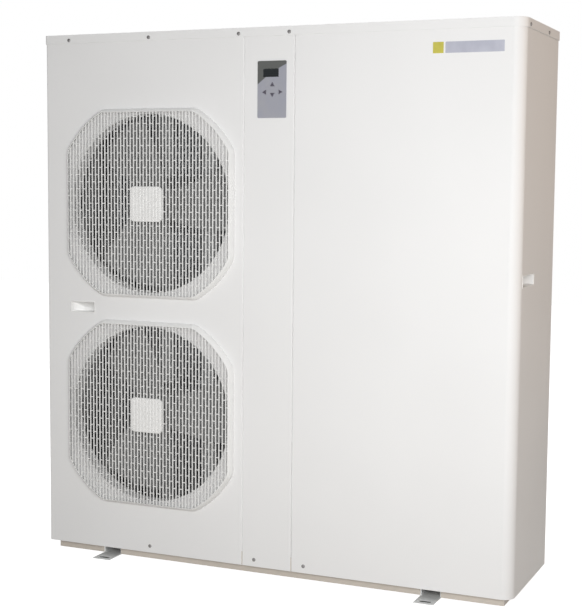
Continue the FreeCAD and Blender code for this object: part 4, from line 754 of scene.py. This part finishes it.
def makeGlands():
    g, shape = gland, newShape()
    for low, high in islandsOf("cable_glands"):
        start = set(shape.verts)
        half = min(high.x - low.x, high.z - low.z) / 2
        upper = addPrism(shape, 6, half / cos(pi / 6), g["nutTo"] * mm - low.y, keep=True)
        turn(shape, newVerts(shape, start), pi / 6)
        lift(shape, newVerts(shape, start), low.y / mm)
        caps = [f for f in shape.faces if len(f.verts) == 6 and not start.intersection(f.verts)]
        ops.inset_individual(shape, faces=caps, thickness=g["nutWall"] * mm, use_even_offset=True)
        ops.delete(shape, geom=caps, context="FACES_ONLY")
        bevel(shape, edgesAmong(upper, lambda v: v in upper), g["nutEdge"], 2)
        foot, long, dome = g["nutTo"], g["domeTo"] - g["nutTo"], g["dome"]
        spinRows(shape, [(dome - 1.2, foot), (dome, foot + 0.8)]
                 + [(dome - narrower, foot + long * part) for narrower, part in g["curve"]]
                 + [(g["mouth"] + 0.5, foot + long), (g["mouth"], foot + long - 0.4),
                    (g["bore"], foot + long - 2.2), (g["bore"], low.y / mm)], g["steps"])
        for index in range(g["ribs"]):
            rib = addBlock(shape, (dome - 1, -g["ribHalf"], foot + 1.2),
                           (dome + 0.7, g["ribHalf"], foot + long * 0.48))
            turn(shape, rib, 2 * pi * index / g["ribs"])
        faceBack(shape, newVerts(shape, start), (low + high) / 2)
    faceOut(shape)
    finishNode(shape, "cable_glands", flatFaces=False)


makeGlands()
print("cable glands done")

# Hexagon bolts and hub nuts with a chamfered crown, a little smaller than the solids they replace.
hexagon = {"nodes": ("foot_bolts", "motor_screws", "hub_nut_lower", "hub_nut_upper"), "chamfer": 0.7,
           "fit": 0.995}


def makeBolts():
    for node in hexagon["nodes"]:
        shape = newShape()
        for low, high in islandsOf(node):
            size = high - low
            way, seat, tall = outwardOf(low, high)
            if node == "foot_bolts":    # upright, with their heads up
                way, seat, tall = Vector((0, 0, 1)), Vector((*((low + high) / 2).xy, low.z)), size.z
            wide, start = sorted(size)[1], set(shape.verts)
            radius = wide / 2 / cos(pi / 6) * hexagon["fit"]
            upper = addPrism(shape, 6, radius, tall)
            faces = list({f for v in newVerts(shape, start) for f in v.link_faces})
            ops.recalc_face_normals(shape, faces=faces)
            bevel(shape, edgesAmong(upper, lambda v: v in upper) + upper, hexagon["chamfer"], 2)
            mine = newVerts(shape, start)
            if (wide == size.x and abs(way.x) < 0.5) or node.startswith("hub"):
                turn(shape, mine, pi / 6)
            standAt(shape, mine, way, seat)
        finishNode(shape, node, flatFaces=False)


makeBolts()
print("bolts done")

# Smaller pieces inside the casing. Turned rows are axis, start and (radius, height) pairs; blocks are two
# corners and the width of their edges. "keep" starts from the CAD shape, "oval" pulls round parts apart along X.
boardKeys = ((14.3, 1123.5), (14.3, 1088.5), (-5.7, 1106), (34.3, 1106))
cans = (301.85, 353.9)
innerForms = {
    "filter_drier": {"turned": [("x", (95, 98, 72), [
        (6.6, 0), (6.6, 6), (8.2, 9), (14.4, 14), (16, 18), (16, 92), (14.4, 96), (8.2, 101), (6.6, 104),
        (6.6, 110)])]},
    "expansion_valve": {"turned": [("z", (-8, 98, 300), [
        (6.4, 0), (6.4, 7), (9.8, 9), (9.8, 24), (7, 26), (7, 31), (11.4, 33), (13, 35.5), (13, 40),
        (11.4, 42.5), (4.4, 44), (4, 48)]), ("x", (-20.8, 98, 317), [(4.4, 0), (5, 1), (5, 14)])]},
    "flow_switch": {
        "turned": [
            ("z", (400, 137.5, 196.1), [(11, 0), (11, 7), (8.5, 8), (8.5, 13)]),
            ("z", (400, 137.5, 234), [
                (6.5, 0), (6.5, 4.5), (5.2, 5), (5.2, 7), (4.2, 8.1), (2.2, 8.1), (2.2, 6)])],
        "blocks": [((386, 123.5, 208), (414, 151.5, 232), 2.4), ((388, 125.5, 231), (412, 149.5, 235), 1.2)]},
    "reversing_valve": {
        "turned": [
            ("x", (88, 30, 640), [
                (12.5, 0), (14.6, 1.4), (14.6, 5), (16, 6.5), (16, 117.5), (14.6, 119), (14.6, 122.6),
                (12.5, 124)]),
            ("x", (119, 6, 640), [
                (3, 0), (3.4, 7), (6.4, 8), (8, 9.5), (8, 52.5), (6.4, 54), (3.4, 55), (3, 62)]),
            *[(way, (x, 30, z), [(10, 0), (9.4, 6)])
              for way, x, z in (("-z", 150, 630), ("z", 110, 650), ("z", 150, 650), ("z", 190, 650))]],
        "blocks": [((138, 4, 633), (162, 17, 647), 1)]},
    "capacitors": {
        "oval": 5,
        "turned": [("z", (x, -65, 1014), [
            (12.8, 0), (14, 1.4), (14, 3.4), (13.3, 4.6), (13.3, 45), (14, 46.2), (14, 49), (13, 50),
            (12.2, 49), (12.2, 48.2)]) for x in cans],
        "blocks": [((x - 12, -68.5, 1061), (x + 12, -61.5, 1065.5), 1) for x in cans] + [
            ((x - 3.1, -65.4, 1064), (x + 3.1, -64.6, 1076), 0.2)
            for can in cans for x in (can - 7, can + 7)]},
    "contactor": {
        "blocks": [
            ((188.9, -81, 1014), (244.8, -51, 1090), 1.2), ((190.9, -98.5, 1031), (242.8, -80, 1073), 1.2),
            ((205, -101, 1041), (228.7, -98, 1063), 0.8),
            *[((x, -93, z), (x + 1.8, -80, z + 16), 0.3)
              for x in (188.9, 206.9, 225, 243) for z in (1014.5, 1073.5)]],
        "turned": [("-y", (x, -80.5, z), [(4.6, 0), (4.6, 2.4), (3.9, 3.2), (1.2, 3.2), (1, 2.2)])
                   for x in (198.8, 216.9, 234.9) for z in (1022.5, 1081.5)]},
    "terminal_block": {
        "keep": 0.3,
        "turned": [("-y", (34.86 + 130 / 12 * (2 * pole + 1), -66.5, z), [
            (3.9, 0), (3.9, 2.2), (3.3, 2.9), (1, 2.9), (0.8, 2)]) for pole in range(6) for z in (923, 933)]},
    "coil_end_plate": {
        "steps": 16, "blocks": [((-56, 105, 22.5), (-54.8, 149, 1235), 0.3)],
        "turned": [("x", (-54.9, y, 35 + 25 * row), [(6.3, 0), (6.1, 0.4), (4.9, 0.4), (4.5, 0.15)])
                   for row in range(48) for y in (113.5, 140.5)]},
    "controller_board": {
        "keep": 0.15,
        "blocks": [
            ((-13, -141.5, 1062), (2, -131, 1078), 0.5), ((12, -141.5, 1059), (36, -133, 1066), 0.4),
            ((8, -141.5, 1106), (20, -139.9, 1118), 0.2), ((26, -141.5, 1128), (34, -140, 1142), 0.2),
            *[((x - 3, -146.4, z - 3), (x + 3, -142.9, z + 3), 0.3) for x, z in boardKeys]],
        "turned": [("y", (x, -141.5, 1096), [(4, 0), (4, 9.6), (3.4, 10.2), (1, 10.2), (0.9, 9.9)])
                   for x in (-7, 3)] + [
            ("-y", (x, -146.2, z), [(1.7, 0), (1.7, 2.9), (1.3, 3.4)]) for x, z in boardKeys]},
}


def addTurned(shape, axis, start, profile, steps, oval):
    # spins a profile of radius and height about an axis and closes it at both ends
    before = set(shape.verts)
    spinRows(shape, [(0, profile[0][1])] + profile + [(0, profile[-1][1])], steps)
    ops.remove_doubles(shape, verts=newVerts(shape, before), dist=1e-6)
    mine = newVerts(shape, before)
    standAt(shape, mine, axes[axis], Vector(start) * mm)
    for vert in mine:
        aside = vert.co.x - start[0] * mm
        if oval and abs(aside) > 0.1 * mm:
            vert.co.x += copysign(oval * mm, aside)


def addInner(shape, form):
    for low, high, edge in form.get("blocks", ()):
        made = addBlock(shape, low, high)
        roundEdges(shape, edge, 3 if edge > 1 else 2, edges=edgesAmong(made, lambda v: True))
    for axis, start, profile in form.get("turned", ()):
        addTurned(shape, axis, start, profile, form.get("steps", 30), form.get("oval", 0))
    faceOut(shape)


# Pressed steel shells have domed ends: for each ring its axis, radius, height and the width of the dome.
domes = {"compressor": [(150, 8, 72, 395.5, 18), (150, 8, 50, 419.5, 9)],
         "suction_accumulator": [(275, -85, 38, 62, 14), (275, -85, 38, 302, 14)],
         "condenser_shell": [(400, 20, 86, 52, 14), (400, 20, 86, 752, 20)]}


def addDomes(shape, rings):
    for x, y, radius, height, wide in rings:
        ring = edgesAmong(shape.verts, lambda v: abs(v.co.z - height * mm) < 0.05 * mm and abs(
            hypot(v.co.x - x * mm, v.co.y - y * mm) - radius * mm) < 0.6 * mm)
        bevel(shape, ring, wide, 7, clamp=True)


def dressNode(node, edge, extra=None):
    # a copy of a CAD node with rounded sheet edges; extra adds to it
    shape = cadShape(node)
    ops.dissolve_limit(shape, angle_limit=radians(0.3), verts=shape.verts, edges=shape.edges)
    shape.faces.layers.float.new("rubbedEdge")
    addDomes(shape, domes.get(node, ()))
    roundEdges(shape, edge)
    if extra:
        extra(shape)
    finishNode(shape, node)


def makeInner():
    for node, form in innerForms.items():
        if "keep" in form:
            dressNode(node, form["keep"], lambda shape: addInner(shape, form))
            continue
        shape = newShape()
        addInner(shape, form)
        finishNode(shape, node)


makeInner()
print("inner pieces done")

# Copper pipes: bent tubes with a brazed sleeve at each end. Rows have the sleeves' radius and the corners.
pipeForm = {"bend": 36, "sides": 20, "steps": 8, "sleeve": 12, "shoulder": 1, "thinner": 0.92}
pipes = {"discharge_pipe": (8, [(150, 30, 419.5), (150, 30, 624)]),
         "coil_vapour_pipe": (8, [(110, 30, 656), (110, 30, 820), (-29.4, 127, 820), (-29.4, 127, 760)]),
         "condenser_vapour_pipe": (8, [(190, 30, 656), (190, 30, 820), (400, 20, 820), (400, 20, 752)]),
         "suction_pipe": (8, [(150, 30, 656), (150, 30, 740), (275, -85, 740), (275, -85, 302)]),
         "liquid_pipe": (5, [(95, 98, 72), (-8, 98, 72), (-8, 98, 300)])}


def pathOf(points, radius):
    # points and radii along a pipe, with its right-angled corners bent
    p, corners = pipeForm, [Vector(point) for point in points]
    thin, ends = radius * p["thinner"], []
    for end, inner in ((corners[0], corners[1]), (corners[-1], corners[-2])):
        way = (inner - end).normalized()
        ends.append([(end + way * far, wide) for far, wide in (
            (0, radius), (p["sleeve"], radius), (p["sleeve"] + p["shoulder"], thin))])
    path = ends[0]
    for before, corner, after in zip(corners, corners[1:], corners[2:]):
        back, on = [(end - corner).normalized() * p["bend"] for end in (before, after)]
        for step in range(p["steps"] + 1):
            angle = pi / 2 * step / p["steps"]
            path.append((corner + back * (1 - sin(angle)) + on * (1 - cos(angle)), thin))
    return path + ends[1][::-1]


def makePipes():
    sides = range(pipeForm["sides"])
    for node, (radius, points) in pipes.items():
        shape, path = newShape(), pathOf(points, radius)
        way, rings = Vector((0, 0, 1)), []
        spokes = [Matrix.Rotation(2 * pi * i / len(sides), 3, "Z") @ Vector((1, 0, 0)) for i in sides]
        for index, (point, radius) in enumerate(path):
            ahead = (path[min(index + 1, len(path) - 1)][0] - path[max(index - 1, 0)][0]).normalized()
            tilt = way.rotation_difference(ahead)
            spokes, way = [tilt @ spoke for spoke in spokes], ahead
            rings.append([shape.verts.new((point + spoke * radius) * mm) for spoke in spokes])
        for lower, upper in zip(rings, rings[1:]):
            for i in sides:
                shape.faces.new((lower[i - 1], lower[i], upper[i], upper[i - 1]))
        shape.faces.new(rings[0])
        shape.faces.new(rings[-1])
        faceOut(shape)
        finishNode(shape, node, flatFaces=False)


makePipes()
print("pipes done")

# Blank badge: a square and a strip of adhesive film, with no words. The strip replaces the CAD node of both.
badge = {"front": -155.6, "back": -155, "low": 1180, "high": 1203.5, "corner": 0.8,
         "badgeSquare": {"across": (385, 408.5), "finish": "badge_square", "replaced": ()},
         "badgeStrip": {"across": (412.5, 539.5), "finish": "badge_film", "replaced": ("blank_badge",)}}


def makeBadges():
    for name in ("badgeSquare", "badgeStrip"):
        shape, film = newShape(), badge[name]
        left, right = film["across"]
        addBlock(shape, (left, badge["front"], badge["low"]), (right, badge["back"], badge["high"]))
        roundEdges(shape, badge["corner"], 3, edges=edgesAlong(shape, 1, 0.3))
        finishPiece(shape, name, "badge_film", film["replaced"], body="casing",
                    finish=finishes[film["finish"]])


makeBadges()
print("badges done")

# The strip's side flanges lap behind the neighbouring folds, so the joints look shallow.
laps = {"places": {-56.5: -152.4, 67.5: -151.6}, "half": 0.76, "thick": 1, "low": 24, "high": 1231}


def addLaps(shape):
    for across, front in laps["places"].items():
        addBlock(shape, (across - laps["half"], front, laps["low"]),
                 (across + laps["half"], front + laps["thick"], laps["high"]))


# The window has a narrow lip around its glass.
windowLip = {"wide": 0.9, "slope": 0.25, "deep": 0.35}


def sinkGlass(shape):
    face = max((f for f in shape.faces if f.normal.y < -0.99), key=lambda f: f.calc_area())
    insetFace(shape, face, ((windowLip["wide"], 0), (windowLip["slope"], -windowLip["deep"])))


# Every other node keeps its shape; its copy gets small rounded edges of this width.
dressed = {"fan_panel": 0.35, "control_strip": 0.35, "service_panel": 0.35, "rear_panel": 0.35,
           "rear_corner_post": 0.35, "base_tray": 0.35, "foot_rail_left": 0.5, "foot_rail_right": 0.5,
           "top_cover": 0.6, "control_plate": 0.9, "display_window": 0.15, "impeller_lower": 0.8,
           "impeller_upper": 0.8, "other": 0.3}
extras = {"control_strip": addLaps, "display_window": sinkGlass}


def dressRest():
    for node in sorted(cadNodes):
        if not cadNodes[node].hide_render:
            dressNode(node, dressed.get(node, dressed["other"]), extras.get(node))


dressRest()
print("nodes dressed")

# Studio: pale floor, a large soft box from the front right, a weak warm one from the right, one behind for the
# back and the lid, and an even pale sky.
# Place, aim, width and height, power, colour and spread of each.
softBoxes = {"keyBox": ((900, -2150, 900), (190, -155, 640), (1500, 900), 33.5, "#ffffff", 180),
             "sideBox": ((2700, 320, 1850), (582, -20, 1020), (900, 900), 1.4, "#ffd2a4", 60),
             "backBox": ((-900, 2500, 2300), (-50, 155, 700), (1400, 1400), 26, "#ffffff", 180)}
# Floor and sky; "shade" is a painted shade inside the feet's slots. These stand at plus and minus "across"
# from a middle that is "shift" to the left, and at plus and minus "deep"; "half" has their half sizes.
paper = {"size": 14000, "lit": "#b0aba4", "seen": "#d0d0d0", "shade": "#4a4846", "glow": 0.88, "sky": 0.34,
         "across": 405, "shift": 7.5, "deep": 179, "half": (16, 8)}


def makeFloor():
    ground = bmesh.new()
    ops.create_grid(ground, x_segments=1, y_segments=1, size=paper["size"] / 2 * mm)
    mesh = bpy.data.meshes.new("floor")
    ground.to_mesh(mesh)
    ground.free()
    floor = addObject("floor", mesh)
    finish, add, place = newFinish("whitePaperSweep")
    mesh.materials.append(finish)
    seen = add("LightPath").outputs
    # the floor gets a painted shade inside the slots of the feet: a dark colour and no glow there
    across, back, up = add("SeparateXYZ", place).outputs
    shifted, near = add("Math", across, paper["shift"] * mm, operation="ADD"), []
    for source, middle, half in ((shifted, "across", paper["half"][0]), (back, "deep", paper["half"][1])):
        far = add("Math", source, operation="ABSOLUTE")
        near.append(add("Math", far, paper[middle] * mm, half * mm, operation="COMPARE"))
    slotShadeMask = add("Math", near[0], near[1], operation="MULTIPLY")
    clear = add("Math", 1, slotShadeMask, operation="SUBTRACT")
    colour = layColours(add, paper["lit"], (seen["Is Camera Ray"], paper["seen"]), (slotShadeMask, paper["shade"]))
    either = add("Math", seen["Is Camera Ray"], seen["Is Glossy Ray"], operation="MAXIMUM")
    glowing = add("Math", either, clear, operation="MULTIPLY")
    lift = add("Math", glowing, paper["glow"], operation="MULTIPLY")
    both = add("AddShader", add("BsdfDiffuse", Color=colour), add("Emission", Color="#ffffff", Strength=lift))
    add("OutputMaterial", Surface=both)


def makeSky():
    world = bpy.data.worlds.new("paleSky")
    bpy.context.scene.world = world
    world.use_nodes = True
    world.node_tree.nodes.clear()
    add = partial(addNode, world.node_tree)
    seen = add("LightPath").outputs
    either = add("Math", seen["Is Camera Ray"], seen["Is Transmission Ray"], operation="MAXIMUM")
    strength = add("MapRange", either, 0, 1, paper["sky"])
    sky = add("Background", Color="#ffffff", Strength=strength)
    add("OutputWorld", Surface=sky)


def makeLamps():
    for name, (place, aim, size, power, tint, spread) in softBoxes.items():
        light = bpy.data.lights.new(name, "AREA")
        light.shape = "RECTANGLE"
        light.size, light.size_y = [side * mm for side in size]
        light.energy = power
        light.spread = radians(spread)
        light.color = linearColour(tint)[:3]
        lamp = addObject(name, light)
        lamp.location = Vector(place) * mm
        lamp.rotation_euler = (Vector(aim) - Vector(place)).to_track_quat("-Z", "Y").to_euler()


# Camera of the photograph. Its focal length is in pixels, as is the longer side of the picture.
view = {"place": (1253.5, -2890, 910), "azimuth": -23.52, "elevation": -5.45, "roll": 0.47, "focal": 1334,
        "side": 616, "sensor": 36, "far": 100}


def makeCamera():
    lens = bpy.data.cameras.new("camera")
    lens.sensor_width = view["sensor"]
    lens.lens = view["focal"] / view["side"] * view["sensor"]
    lens.clip_end = view["far"]
    camera = addObject("camera", lens)
    around, tilt, roll = [radians(view[angle]) for angle in ("azimuth", "elevation", "roll")]
    camera.matrix_world = (Matrix.Translation(Vector(view["place"]) * mm) @ Matrix.Rotation(-around, 4, "Z")
                           @ Matrix.Rotation(pi / 2 + tilt, 4, "X") @ Matrix.Rotation(roll, 4, "Z"))
    bpy.context.scene.camera = camera
    bpy.context.scene.view_settings.view_transform = "Standard"


makeFloor()
makeSky()
makeLamps()
makeCamera()
print("studio done")
